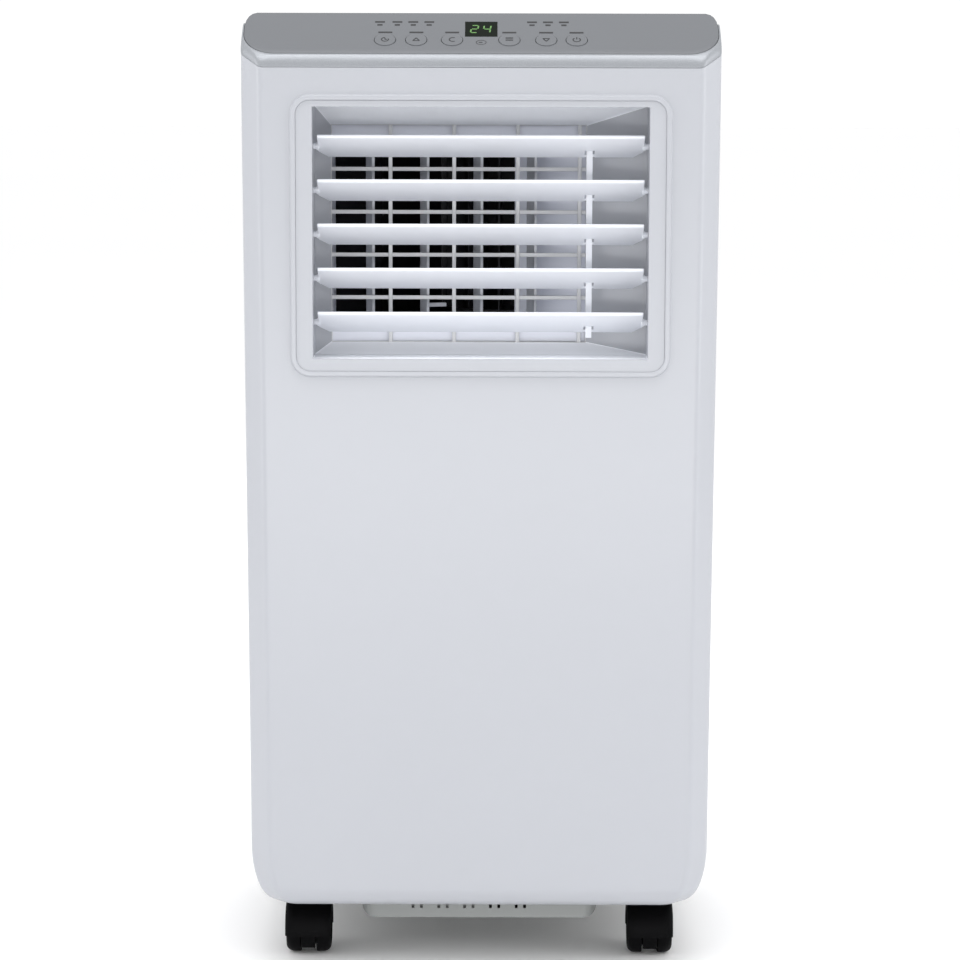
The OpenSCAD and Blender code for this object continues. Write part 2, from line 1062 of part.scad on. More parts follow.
// Pipe of radius r with mitred bends along a list of places.
module pipe(path, r)
{
  sides = 12;
  d = unit(path[1] - path[0]);
  u = unit(cross(d, abs(d[2]) < 0.9 ? [0, 0, 1] : [1, 0, 0]));
  v = cross(d, u);
  first = [for (j = [0:sides - 1])
    path[0] + r * (u * cos(j * 360 / sides) + v * sin(j * 360 / sides))];
  rings = pipe_rings(path, first);
  last = len(path) - 1;
  walls = [for (i = [0:last - 1], j = [0:sides - 1])
    let (k = (j + 1) % sides)
      [i * sides + k, i * sides + j, (i + 1) * sides + j,
       (i + 1) * sides + k]];
  polyhedron([for (ring = rings, q = ring) q],
             concat(walls, [[for (j = [0:sides - 1]) j]],
                    [[for (j = [sides - 1:-1:0]) last * sides + j]]));
}

module refrigerant_pipes()
{
  color(copper)
  {
    pipe([[-88, -58, 250.3], [-88, -58, 300], [-140, -20, 300],
          [-140, 92, 300], [-140, 100, 300]], 4);
    pipe([[-118, 34, 262.3], [-118, 34, 290], [-133, 44, 320],
          [-133, 60, 450], [-133, 113, 450], [-119.5, 113, 450]], 5);
    pipe([[-118, 34, 95.7], [-118, 34, 84], [-118, 0, 84],
          [-118, 0, 130], [-118, -21.3, 130]], 5);
    pipe([[-62, 100, 84], [-62, 90, 84], [-48, 70, 110], [-48, 70, 300],
          [-140, 70, 326], [-145, 74, 400], [-145, 106, 400],
          [-119.5, 106, 400]], 3);
  }
}

module electric_box()
{
  color([0.78, 0.79, 0.8])
    block([108, -56, 452], [152, 8, 598]);
  color(metal)
    up(130, -26, 404, 452, 18);
}

// ---------- base and casters ----------

module base_pan()
{
  belly_x = 84.5;
  belly_y = 108;
  belly_low = 28;
  slots_x = -7.4;
  slot_pitch = 18.5;
  t = 2.6;
  color([0.6, 0.61, 0.6])
    difference()
    {
      union()
      {
        translate([0, 0, plate_low])
          linear_extrude(plate_high - plate_low)
            polygon(outline(half_width(shell_z), front_y + foot_edge_r,
                            rear_y - foot_edge_r, wall + 0.8));
        intersection()
        {
          translate([0, 0, belly_low])
            linear_extrude(plate_low - belly_low + 0.5)
              round_rect(-belly_x, belly_x, -belly_y, belly_y, 12);
          upright_plate(-belly_x, belly_x, belly_low, 80, 9, -150, 150);
        }
        for (x = [-caster_x, caster_x], y = fork_y)
          up(x, y, plate_low, 60, 9);
        along_y(lower_drain[0], lower_drain[1], 100, rear_y - wall - 0.4, 10.6);
        block([lower_drain[0] - 10.6, 100, plate_high - 0.5],
              [lower_drain[0] + 10.6, 117, lower_drain[1]]);
      }
      translate([0, 0, belly_low + t])
        linear_extrude(40)
          round_rect(-6, belly_x - t, -belly_y + t, belly_y - t, 9.4);
      for (x = [-caster_x, caster_x], y = fork_y)
        up(x, y, 40, 57.6, stem_r + run_fit);
      along_y(lower_drain[0], lower_drain[1], 104, rear_y, plug_r + run_fit);
      for (i = [-2:2], side = [-1, 1])
        let (x = slots_x + i * slot_pitch + side * 3)
          block([x - 1, -belly_y - 1, 34.8], [x + 1, -belly_y + t + 1, 42]);
    }
}

function fork_at(i) =
  [i % 2 == 0 ? -caster_x : caster_x, fork_y[i < 2 ? 0 : 1]];

module caster_fork(i)
{
  at = fork_at(i);
  wheel_r = wheel_d / 2;
  hood_half = 16.5;
  hood_t = 2.6;
  y = at[1] - caster_trail;
  color(black)
  {
    difference()
    {
      union()
      {
        along_x(at[0] - hood_half, at[0] + hood_half, y, wheel_r, wheel_r + hood_t);
        up(at[0], at[1], wheel_r + 8, 42.6, 11);
        up(at[0], at[1], 42, 57, stem_r);
      }
      for (side = [-1, 1])
        along_x(at[0] + (side > 0 ? web : -17), at[0] + (side > 0 ? 17 : -web),
                y, wheel_r, wheel_r + 0.6);
      block([at[0] - 20, y - 30, -5], [at[0] + 20, y + 30, 6]);
      for (side = [-1, 1])
        block([at[0] + (side > 0 ? web : -17), y - 30, -5],
              [at[0] + (side > 0 ? 17 : -web), y + 30, wheel_r - 2]);
      along_x(at[0] - 20, at[0] + 20, y, wheel_r, axle_r + run_fit);
    }
  }
}

module caster_wheel(i)
{
  at = fork_at(i);
  wheel_r = wheel_d / 2;
  y = at[1] - caster_trail;
  color(black)
  {
    along_x(at[0] - 15, at[0] + 15, y, wheel_r, axle_r);
    for (side = [-1, 1])
      difference()
      {
        along_x(at[0] + (side > 0 ? web + 0.6 : -16),
                at[0] + (side > 0 ? 16 : -web - 0.6), y, wheel_r, wheel_r);
        along_x(at[0] + (side > 0 ? 14 : -17), at[0] + (side > 0 ? 17 : -14),
                y, wheel_r, wheel_r - 5);
      }
  }
}

// ---------- pieces that come off ----------

module filter_cover()
{
  pitch = 9;
  count = 22;
  color(shell_white)
    difference()
    {
      upright_plate(-intake_x + 0.4, intake_x - 0.4, intake_low + 0.4,
                    intake_high - 0.4, 7.6, rear_y - 2, rear_y + 3);
      for (i = [0:count - 1], x = [-96, -30.5, 35])
        block([x, rear_y - 4, intake_low + 12 + i * pitch],
              [x + 61, rear_y + 5, intake_low + 17 + i * pitch]);
    }
}

module filter_mesh()
{
  x = 99;
  y0 = rear_y - 5.5;
  y1 = rear_y - 2.1;
  color([0.3, 0.32, 0.36])
  {
    difference()
    {
      block([-x, y0, intake_low + 4], [x, y1, intake_high - 4]);
      block([-x + 5, y0 - 1, intake_low + 9], [x - 5, y1 + 1, intake_high - 9]);
    }
    block([-x + 4, y0 + 1, intake_low + 8], [x - 4, y0 + 1.6, intake_high - 8]);
    for (px = [-60, -20, 20, 60])
      block([px - 1, y0 + 0.5, intake_low + 8],
            [px + 1, y1 - 0.3, intake_high - 8]);
  }
}

module drain_plug(at)
{
  color(black)
  {
    along_y(at[0], at[1], rear_y - 12, rear_y + 0.4, plug_r);
    along_y(at[0], at[1], rear_y + 0.3, rear_y + 6.5, 11);
    block([at[0] - 2, rear_y + 6, at[1] - 9], [at[0] + 2, rear_y + 7.9,
                                               at[1] + 9]);
  }
}

front_shell();
side_panel(-1);  // left_side_panel
side_panel(1);  // right_side_panel
rear_panel();
top_cover();
top_panel();
display_window();
control_board();
louvre_frame();
guard_grid();
outlet_duct();
upper_scroll();
upper_motor();
evaporator_coil();
drain_tray();
partition_deck();
lower_scroll();
exhaust_motor();
condenser_coil();
compressor();
compressor_mounts();
refrigerant_pipes();
electric_box();
base_pan();
exhaust_collar();
lower_grille();
handle_cups();
cord_gland();
housing_screws();
blade(0);  // blade_1
blade(1);  // blade_2
blade(2);  // blade_3
blade(3);  // blade_4
blade(4);  // blade_5
louvre_link();
vane(0);  // vane_1
vane(1);  // vane_2
vane(2);  // vane_3
vane(3);  // vane_4
vane_link();
button(0);  // button_1
button(1);  // button_2
button(2);  // button_3
button(3);  // button_4
button(4);  // button_5
button(5);  // button_6
cooling_blower_wheel();
exhaust_blower_wheel();
filter_cover();
filter_mesh();
drain_plug(upper_drain);  // upper_drain_plug
drain_plug(lower_drain);  // lower_drain_plug
caster_fork(0);  // caster_fork_1
caster_fork(1);  // caster_fork_2
caster_fork(2);  // caster_fork_3
caster_fork(3);  // caster_fork_4
caster_wheel(0);  // caster_wheel_1
caster_wheel(1);  // caster_wheel_2
caster_wheel(2);  // caster_wheel_3
caster_wheel(3);  // caster_wheel_4
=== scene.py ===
"""Portable air conditioner: finished surfaces built around the packed frame.

Lengths are in metres. X runs to the right, Y to the back and Z up, with the
origin on the floor under the middle of the housing.
"""
import json
from math import cos, pi, radians, sin, tan

import bmesh
import bpy
import numpy as np
from bpy.props import FloatProperty, FloatVectorProperty, IntProperty, PointerProperty
from mathutils import Matrix, Vector

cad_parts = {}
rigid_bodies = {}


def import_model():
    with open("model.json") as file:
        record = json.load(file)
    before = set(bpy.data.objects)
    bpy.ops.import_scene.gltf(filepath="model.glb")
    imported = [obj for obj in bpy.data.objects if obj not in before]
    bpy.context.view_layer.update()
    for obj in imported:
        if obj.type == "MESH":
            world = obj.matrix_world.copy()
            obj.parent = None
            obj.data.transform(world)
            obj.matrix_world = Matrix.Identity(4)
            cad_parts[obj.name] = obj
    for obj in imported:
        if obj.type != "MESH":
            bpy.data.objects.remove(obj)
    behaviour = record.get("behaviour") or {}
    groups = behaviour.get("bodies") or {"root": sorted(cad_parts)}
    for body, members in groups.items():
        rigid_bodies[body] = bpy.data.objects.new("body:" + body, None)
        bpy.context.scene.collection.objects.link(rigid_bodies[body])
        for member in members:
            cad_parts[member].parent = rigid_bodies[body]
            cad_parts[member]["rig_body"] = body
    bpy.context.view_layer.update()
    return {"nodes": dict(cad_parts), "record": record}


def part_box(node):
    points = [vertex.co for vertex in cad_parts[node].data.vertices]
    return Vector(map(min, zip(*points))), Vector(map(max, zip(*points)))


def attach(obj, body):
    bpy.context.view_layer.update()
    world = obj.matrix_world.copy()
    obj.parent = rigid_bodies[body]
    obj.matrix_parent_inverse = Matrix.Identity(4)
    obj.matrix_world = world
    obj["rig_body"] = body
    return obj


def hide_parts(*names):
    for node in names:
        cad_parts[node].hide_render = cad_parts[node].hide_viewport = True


bl_info = {
    "name": "Portable Air Conditioner",
    "version": (1, 0, 0),
    "blender": (4, 5, 0),
    "location": "View3D > Sidebar > Air Conditioner",
    "description": "Builds a portable air conditioner's housing, louvres, controls and casters",
    "category": "Object",
}

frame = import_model()

MM = 0.001
MERGE = 1e-6             # points closer than this are one point

# The housing's main planes, from the packed frame.
HALF_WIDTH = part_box("front_shell")[1].x
FRONT_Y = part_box("top_cover")[0].y
REAR_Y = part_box("rear_panel")[1].y
SPLIT_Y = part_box("front_shell")[1].y
FOOT_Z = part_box("front_shell")[0].z
SEAM_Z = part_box("top_cover")[0].z
SHOULDER_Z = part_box("front_shell")[1].z
COVER_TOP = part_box("top_cover")[1].z
BEZEL_LOW, BEZEL_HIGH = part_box("louvre_frame")
BEZEL_GAP = 0.15 * MM    # between the bezel and the aperture round it

# The louvre frame's opening, and the throat that narrows behind it; they bound the throat's painted
# light.
OPENING_LOW = 433.5 * MM
OPENING_HIGH = 606.6 * MM
THROAT_Y = -106 * MM     # where the throat starts to narrow
CEILING_SLOPE = 0.919    # fall of the throat's ceiling for each step back
FLOOR_SLOPE = 0.473      # rise of its floor
RIM_DEPTH = 3.5 * MM     # the bezel's face colour goes this far back before the painted light
SLACK = 0.5 * MM         # the throat's painted light starts this far out from the opening

# The control panel; heights on the panel are measured up the slope from the display.
WINDOW_LIFT = 0.15 * MM    # window's face above the panel plane
WINDOW_MIDDLE = 0.4 * MM   # panel plane above the middle of the window's plate
LABEL_RISE = -4.4 * MM     # label bars over the buttons
STATUS_RISE = 9 * MM       # status marks
SENSOR_RISE = -17 * MM     # remote sensor
STATUS_PLACES = np.array([-70, -58, -47, -36, 35, 46, 57]) * MM
CAP_TOP = 0.5 * MM         # a button's face above the panel plane
SEGMENTS = {"2": "abged", "4": "fgbc"}

# Pivot pin of a blade as (along, radius), from inside the end of the blade.
PIN_PROFILE = np.array([[-1, 0], [-1, 3], [0.2, 3], [1.6, 2], [4.3, 2], [4.6, 1.7], [4.6, 0]]) * MM

SCREW_HEIGHTS = [0.090, 0.235, 0.340, 0.480, 0.620]

# The casters.
WEB_HALF = 5 * MM          # half the web plate between the wheels
HOOD_WALL = 2 * MM         # thickness of the hood
CASTER_TRAIL = 12 * MM     # swivel axis behind the axle
COLLAR_RADIUS = 11 * MM    # collar at the root of the stem
STEM_RADIUS = 4 * MM
STEM_SHOULDER = 42.6 * MM  # height of the collar's face under the base

SLOT_OF = {row["node"]: row["material_slot"] for row in frame["record"]["subparts"]}
finishes = {}            # filled by the finishes step, by the name of the material slot


# ---------- settings ----------

def length(name, description, default):
    """A length setting in metres."""
    return FloatProperty(name=name, description=description, default=default, unit="LENGTH",
                         precision=4, min=0.0)


def colour(name, description, default):
    """A colour setting, linear red, green and blue."""
    return FloatVectorProperty(name=name, description=description, default=default, size=3,
                               subtype="COLOR", min=0.0, max=1.0)


class AirConditionerHousing(bpy.types.PropertyGroup):
    """Sizes of the moulded housing"""
    taper: length("Side taper", "How much narrower each side is at the foot", 3.7 * MM)
    chamfer_x: length("Chamfer width", "Front corner chamfer across the front", 13.4 * MM)
    chamfer_y: length("Chamfer depth", "Front corner chamfer along the side", 14 * MM)
    soft: length("Chamfer softness", "Length of the rounding at each chamfer edge", 3.2 * MM)
    rear_radius: length("Rear radius", "Radius of the rear corners", 26 * MM)
    foot_width: length("Foot corner width", "How far the foot corners draw in", 19 * MM)
    foot_height: length("Foot corner height", "Height of the foot corners", 42 * MM)
    foot_edge: length("Foot edge", "Rounding of the front wall at the foot", 14 * MM)
    skin: length("Skin", "Thickness of the front moulding", 1.8 * MM)
    lip_width: length("Lip width", "Width of the raised lip round the outlet", 3.7 * MM)
    lip_height: length("Lip height", "How far the lip stands proud", 2 * MM)
    aperture_radius: length("Aperture radius", "Corner radius of the front aperture", 10 * MM)
    screw_radius: length("Screw head radius", "Radius of a housing screw's head", 3.8 * MM)


class AirConditionerTop(bpy.types.PropertyGroup):
    """Sizes of the top cover, control panel and display"""
    slope: FloatProperty(name="Slope", description="Slope of the control panel",
                         default=radians(32), subtype="ANGLE")
    band: length("Band height", "Height of the silver band at its outer edge", 3.3 * MM)
    panel_setback: length("Panel setback", "Panel edge behind the front wall", 5 * MM)
    panel_inset: length("Panel inset", "Panel edge inside the side walls", 1.4 * MM)
    panel_radius: length("Panel radius", "Radius of the panel's front corners", 22 * MM)
    land: length("Land", "Flat edge of the cover round the panel", 1.2 * MM)
    edge_rise: length("Edge rise", "Height of the cover's land above the band", 6 * MM)
    mark: length("Print height", "Thickness of a printed mark", 0.06 * MM)


class AirConditionerLouvre(bpy.types.PropertyGroup):
    """Sizes of the louvre blades"""
    tilt: FloatProperty(name="Blade tilt", description="Front edge above the level",
                        default=radians(30), subtype="ANGLE")
    half_length: length("Half length", "Half the length of a blade", 112.5 * MM)
    chord: length("Chord", "Front-to-back width of a blade", 30 * MM)
    bead: length("Bead", "Radius of the rolled front edge", 1.25 * MM)
    plate: length("Plate", "Half the thickness of a blade", 0.85 * MM)
    notch_x: length("Notch place", "Sideways place of the link's notch", 75.2 * MM)
    notch_width: length("Notch width", "Width of the link's notch", 7 * MM)
    crank: length("Crank", "Link pin behind the pivot", 13 * MM)
    blades: IntProperty(name="Blades", description="Number of blades", default=5, min=1)


class AirConditionerFinish(bpy.types.PropertyGroup):
    """Colours of the finishes"""
    white: colour("Gloss white", "Front moulding", (0.395, 0.407, 0.44))
    satin: colour("Satin white", "Rear moulding and covers", (0.405, 0.417, 0.45))
    # painted light: the throat's colour is far lighter than the moulding's white, standing in for
    # light falling into the outlet
    throat: colour("Throat white", "Inside of the louvre frame", (0.90, 0.92, 0.96))
    # painted light: blade white is lighter than the moulding's white, standing in for light on the
    # blades' undersides in the outlet
    blade: colour("Blade white", "Blades and vanes", (0.76, 0.78, 0.83))
    silver: colour("Silver", "Top cover band", (0.28, 0.293, 0.315))
    panel: colour("Panel grey", "Top panel and buttons", (0.125, 0.132, 0.144))
    grid: colour("Guard grey", "Guard grid", (0.68, 0.685, 0.695))
    # partly painted light: the duct's own grey, made lighter than the white mouldings to stand in
    # for light reaching into the duct
    duct: colour("Duct grey", "Duct and tray", (0.84, 0.86, 0.94))
    pan: colour("Pan grey", "Base pan", (0.25, 0.26, 0.257))
    black: colour("Black", "Casters, plugs and scrolls", (0.0022, 0.0022, 0.0026))
    lamp: colour("Lamp green", "Lit segments of the display", (0.10, 0.24, 0.06))


class AirConditionerStage(bpy.types.PropertyGroup):
    """The floor, lights and camera"""
    camera_distance: length("Camera distance", "Camera in front of the origin", 2.339)
    camera_height: length("Camera height", "Camera above the floor", 0.6578)
    camera_side: length("Camera side", "Camera to the right of the middle", 7.65 * MM)
    pitch: FloatProperty(name="Pitch", description="Camera looking down by",
                         default=radians(7.986), subtype="ANGLE")
    lens: FloatProperty(name="Lens", description="Focal length on a 36 mm sensor",
                        default=120.03, unit="CAMERA")
    daylight: FloatProperty(name="Daylight", description="Strength of the white surround",
                            default=1.06)


SETTINGS = {
    "ac_housing": AirConditionerHousing,
    "ac_top": AirConditionerTop,
    "ac_louvre": AirConditionerLouvre,
    "ac_finish": AirConditionerFinish,
    "ac_stage": AirConditionerStage,
}


# ---------- meshes ----------

def grid_faces(rows, columns, ring_rows=False, ring_columns=False):
    """Faces of a grid of points numbered row by row; a ring joins its end to its start."""
    r, c = np.meshgrid(np.arange(rows if ring_rows else rows - 1),
                       np.arange(columns if ring_columns else columns - 1), indexing="ij")
    r2, c2 = (r + 1) % rows, (c + 1) % columns
    corners = [r * columns + c, r * columns + c2, r2 * columns + c2, r2 * columns + c]
    return np.stack(corners, -1).reshape(-1, 4)


def surface(points, ring_rows=False, ring_columns=False):
    """A patch from a (rows, columns, 3) array of points."""
    rows, columns = points.shape[:2]
    return points.reshape(-1, 3), grid_faces(rows, columns, ring_rows, ring_columns)


def closed_bar(points):
    """A bar from a (stations, ring, 3) array: its ring sections are joined and both ends capped."""
    stations, ring = points.shape[:2]
    faces = grid_faces(stations, ring, ring_columns=True).tolist()
    faces.append(list(range(ring - 1, -1, -1)))
    faces.append(list(range((stations - 1) * ring, stations * ring)))
    return points.reshape(-1, 3), faces


def lathe(profile, segments):
    """A solid of revolution: profile rows are (along, radius), turned about the first axis."""
    profile = np.asarray(profile, float)
    a = np.linspace(0, 2 * pi, segments, endpoint=False)
    along = np.repeat(profile[:, :1], segments, 1)
    return surface(np.stack([along, profile[:, 1:] * np.cos(a), profile[:, 1:] * np.sin(a)], -1),
                   ring_columns=True)


def placed(patch, origin, axes=((1, 0, 0), (0, 1, 0), (0, 0, 1))):
    """A patch whose three coordinates are measured from origin along the three axes."""
    points, faces = patch
    return np.asarray(origin, float) + points @ np.asarray(axes, float), faces


def make_mesh(name, patches, facing, smooth):
    """One mesh from patches, doubles merged, its furthest face turned to look along facing."""
    points, faces, first = [], [], 0
    for patch_points, patch_faces in patches:
        points.append(patch_points)
        if isinstance(patch_faces, np.ndarray):
            faces += (patch_faces + first).tolist()
        else:
            faces += [[index + first for index in face] for face in patch_faces]
        first += len(patch_points)
    mesh = bpy.data.meshes.new(name)
    mesh.from_pydata(np.concatenate(points).tolist(), [], faces)
    work = bmesh.new()
    work.from_mesh(mesh)
    bmesh.ops.remove_doubles(work, verts=work.verts, dist=MERGE)
    bmesh.ops.dissolve_degenerate(work, edges=work.edges, dist=MERGE)
    bmesh.ops.recalc_face_normals(work, faces=work.faces)
    facing = Vector(facing)
    outermost = max((face for face in work.faces if abs(face.normal @ facing) > 0.3),
                    key=lambda face: face.calc_center_median() @ facing)
    if outermost.normal @ facing < 0:
        bmesh.ops.reverse_faces(work, faces=work.faces)
    work.to_mesh(mesh)
    work.free()
    mesh.shade_smooth()
    mesh.set_sharp_from_angle(angle=radians(smooth))
    return mesh


def linked(name, data):
    """An object of the scene."""
    item = bpy.data.objects.new(name, data)
    bpy.context.scene.collection.objects.link(item)
    return item


def hand_over(piece, body, slot, nodes, finish):
    """Gives a piece its finish, chosen by its slot unless another is named, puts it on its body,
    and hides the nodes it stands for.
    """
    piece.data.materials.clear()
    piece.data.materials.append(finishes[finish or slot])
    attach(piece, body)
    if nodes:
        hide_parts(*nodes)
    return piece


def new_piece(name, patches, body, slot, nodes=(), finish=None, facing=(0, -1, 0), smooth=35):
    """A finished piece made of patches; its finish is its slot's unless another is named."""
    piece = linked(name, make_mesh(name, patches, facing, smooth))
    return hand_over(piece, body, slot, nodes, finish)


def eased_copy(node, body, slot, ease, finish=None, segments=2, smooth=25):
    """A copy of a CAD node with its doubles merged and its edges eased by a small bevel."""
    mesh = frame["nodes"][node].data.copy()
    mesh.name = node + "_finished"
    work = bmesh.new()
    work.from_mesh(mesh)
    bmesh.ops.remove_doubles(work, verts=work.verts, dist=5 * MERGE)
    bmesh.ops.dissolve_limit(work, angle_limit=radians(0.6), verts=work.verts, edges=work.edges)
    work.to_mesh(mesh)
    work.free()
    mesh.shade_smooth()
    mesh.set_sharp_from_angle(angle=radians(smooth))
    piece = linked(node + "_finished", mesh)
    bevel = piece.modifiers.new("Eased edges", "BEVEL")
    bevel.width = ease
    bevel.segments = segments
    bevel.limit_method = "ANGLE"
    bevel.angle_limit = radians(smooth + 5)
    bevel.harden_normals = True
    return hand_over(piece, body, slot, (node,), finish)


# ---------- shapes of the housing ----------

def soft_min(a, b, softness=0.5 * MM):
    """The lower of two heights, rounded where they cross: minus the log of summed decays."""
    low = np.minimum(a, b)
    return low - softness * np.log(np.exp((low - a) / softness) + np.exp((low - b) / softness))


def roof(y, start, level, slope):
    """Height of a plane that rises from start at the front wall and turns level."""
    return soft_min(start + (y - FRONT_Y) * tan(slope), level)


def half_width(z, housing):
    """Half the housing's width: a straight taper and a quarter-ellipse corner at the foot."""
    rise = np.clip((FOOT_Z + housing.foot_height - z) / housing.foot_height, 0, 1)
    corner = housing.foot_width * (1 - np.sqrt(1 - rise ** 2))
    taper = housing.taper * np.clip(SEAM_Z - z, 0, None) / (SEAM_Z - FOOT_Z)
    return HALF_WIDTH - taper - corner


def front_wall(z, housing):
    """Y of the front wall, drawn back in a quarter circle at the foot."""
    rise = np.clip((FOOT_Z + housing.foot_edge - z) / housing.foot_edge, 0, 1)
    return FRONT_Y + housing.foot_edge * (1 - np.sqrt(1 - rise ** 2))


def stretch(a, b, steps):
    """Straight stretch from a to b, arrays of (..., 2), without its last point."""
    t = np.linspace(0, 1, steps, endpoint=False)[:, None]
    return a[..., None, :] * (1 - t) + b[..., None, :] * t


def parabola(a, corner, b, t):
    """Points at t on the parabola from a to b that is drawn towards the corner."""
    return a * (1 - t) ** 2 + corner * 2 * t * (1 - t) + b * t ** 2


def bend(a, corner, b, steps):
    """Parabolic bend from a to b, without its last point."""
    t = np.linspace(0, 1, steps, endpoint=False)[:, None]
    return parabola(a[..., None, :], corner[..., None, :], b[..., None, :], t)


def chamfered_corner(width, front, housing, steps=6):
    """Right front corner of the plan, from the front wall round to the side, with soft edges."""
    inner = np.stack([width - housing.chamfer_x, front], -1)
    outer = np.stack([width, front + housing.chamfer_y], -1)
    reach = housing.soft
    along = (outer - inner) / np.linalg.norm(outer - inner, axis=-1, keepdims=True) * reach
    start, end = inner - [reach, 0], outer + [0, reach]
    return np.concatenate([bend(start, inner, inner + along, steps),
                           stretch(inner + along, outer - along, 3),
                           bend(outer - along, outer, end, steps)], -2), start, end


def outward(points):
    """Plan normals along rows of plan points: the tangent turned a quarter to the right."""
    tangent = np.gradient(points, axis=-2)
    normal = np.stack([tangent[..., 1], -tangent[..., 0]], -1)
    return normal / np.linalg.norm(normal, axis=-1, keepdims=True)


# ---------- finishes ----------

class Wire:
    """A node's output that takes arithmetic; each operation adds a Math node."""

    def __init__(self, finish, socket):
        self.finish = finish
        self.socket = socket

    def __add__(self, other):
        return self.finish.math("ADD", self, other)

    def __sub__(self, other):
        return self.finish.math("SUBTRACT", self, other)

    def __rsub__(self, other):
        return self.finish.math("SUBTRACT", other, self)

    def __mul__(self, other):
        return self.finish.math("MULTIPLY", self, other)

    def __gt__(self, other):
        return self.finish.math("GREATER_THAN", self, other)

    __radd__, __rmul__ = __add__, __mul__


class Finish:
    """A procedural material and the ways its nodes are added."""

    def __init__(self, name):
        self.material = bpy.data.materials.new(name)
        self.material.use_nodes = True
        self.tree = self.material.node_tree
        self.tree.nodes.clear()
        self.place = self.add("ShaderNodeTexCoord", out="Object")

    def add(self, kind, settings=(), sockets=(), out=0):
        """A node of one kind, with its settings set first and then its sockets filled or linked."""
        node = self.tree.nodes.new(kind)
        for key, value in dict(settings).items():
            setattr(node, key, value)
        for key, value in dict(sockets).items():
            if isinstance(value, Wire):
                self.tree.links.new(value.socket, node.inputs[key])
            else:
                node.inputs[key].default_value = value
        return None if out is None else Wire(self, node.outputs[out])

    def math(self, operation, *values):
        """Arithmetic on wires and numbers."""
        return self.add("ShaderNodeMath", {"operation": operation}, enumerate(values))

    def noise(self, scale, detail=2.0, place=None):
        """Soft noise between 0 and 1, about 0.5 in the middle."""
        return self.add("ShaderNodeTexNoise", (), {"Vector": place or self.place,
                                                   "Scale": scale, "Detail": detail})

    def axis(self, letter, place=None):
        """One coordinate of a place."""
        return self.add("ShaderNodeSeparateXYZ", (), {0: place or self.place}, letter)

    def crystals(self, scale, letter):
        """A random level for each cell of the given scale; each letter has its own levels."""
        return self.axis(letter, self.add("ShaderNodeTexVoronoi", (), {
            "Vector": self.place, "Scale": scale}, "Color"))

    def wave(self, letter, pitch):
        """Sine wave with the given pitch along an axis."""
        return self.math("SINE", self.axis(letter) * (2 * pi / pitch))

    def blend(self, factor, a, b):
        """Mix of two colours."""
        return self.add("ShaderNodeMix", {"data_type": "RGBA"},
                        {0: factor, 6: as_rgba(a), 7: as_rgba(b)}, 2)

    def surface(self, base, roughness, relief=None, depth=0.0, **constants):
        """The shader and output; relief is a height of the given depth."""
        sockets = {"Base Color": as_rgba(base), "Roughness": roughness, **constants}
        if relief is not None:
            sockets["Normal"] = self.add("ShaderNodeBump", (), {
                "Height": relief, "Distance": depth, "Strength": 1.0})
        shader = self.add("ShaderNodeBsdfPrincipled", (), {
            key.replace("_", " "): value for key, value in sockets.items()})
        self.add("ShaderNodeOutputMaterial", (), {"Surface": shader}, None)
        return self.material


def as_rgba(value):
    """A colour with its alpha, or a wire as it is."""
    return value if isinstance(value, Wire) else (*value[:3], 1.0)


def shade(rgb, factor):
    """A colour made lighter or darker."""
    return tuple(min(1.0, channel * factor) for channel in rgb)


def moulded(name, rgb, gloss, grain, depth, drift=0.03, **constants):
    """Moulded plastic: the colour drifts slowly and a fine grain breaks the gloss."""
    finish = Finish(name)
    slow, fine = finish.noise(7.0), finish.noise(grain, 3.0)
    base = finish.blend(slow, shade(rgb, 1 - drift), shade(rgb, 1 + drift))
    return finish.surface(base, gloss + 0.12 * (fine - 0.5), fine, depth, **constants)


def painted_light_throat(name, face, inside, gloss):
    """Moulded plastic with painted light: the throat's sloping floor and ceiling behind the bezel
    take a lighter colour that stands in for light falling there.
    """
    finish = Finish(name)
    slow, fine = finish.noise(7.0), finish.noise(1100.0, 3.0)
    z, y = finish.axis("Z"), finish.axis("Y")
    back = finish.math("MAXIMUM", y - THROAT_Y, 0.0)
    ceiling = (z + back * CEILING_SLOPE) > (OPENING_HIGH - SLACK)
    floor = (back * FLOOR_SLOPE - z) > (-SLACK - OPENING_LOW)
    # painted light: mask of the throat's sloping floor and ceiling, which take the lighter colour
    painted_light_mask = (ceiling + floor) * (y > (BEZEL_LOW.y + RIM_DEPTH))
    base = finish.blend(painted_light_mask, face, inside)
    tinted = finish.blend(0.06 * slow, base, shade(inside, 0.8))
    return finish.surface(tinted, gloss + 0.12 * (fine - 0.5), fine, 0.012 * MM)


def metallic_paint(name, rgb, gloss, flake):
    """Silver paint: small flakes that differ a little in lightness and gloss."""
    finish = Finish(name)
    tone = finish.crystals(flake, "X")
    base = finish.blend(tone, shade(rgb, 0.93), shade(rgb, 1.07))
    return finish.surface(base, gloss + 0.1 * tone, tone, 0.004 * MM, Metallic=0.35)


def drawn_metal(name, rgb, gloss):
    """Drawn or turned metal: grain stretched along the height, with a light mottle."""
    finish = Finish(name)
    long_grain = finish.add("ShaderNodeMapping", {"vector_type": "POINT"},
                            {"Vector": finish.place, "Scale": (900.0, 900.0, 40.0)})
    streak, mottle = finish.noise(1.0, 4.0, long_grain), finish.noise(30.0)
    base = finish.blend(mottle, shade(rgb, 0.85), shade(rgb, 1.1))
    return finish.surface(base, gloss + 0.25 * (streak - 0.5), streak, 0.01 * MM, Metallic=1.0)


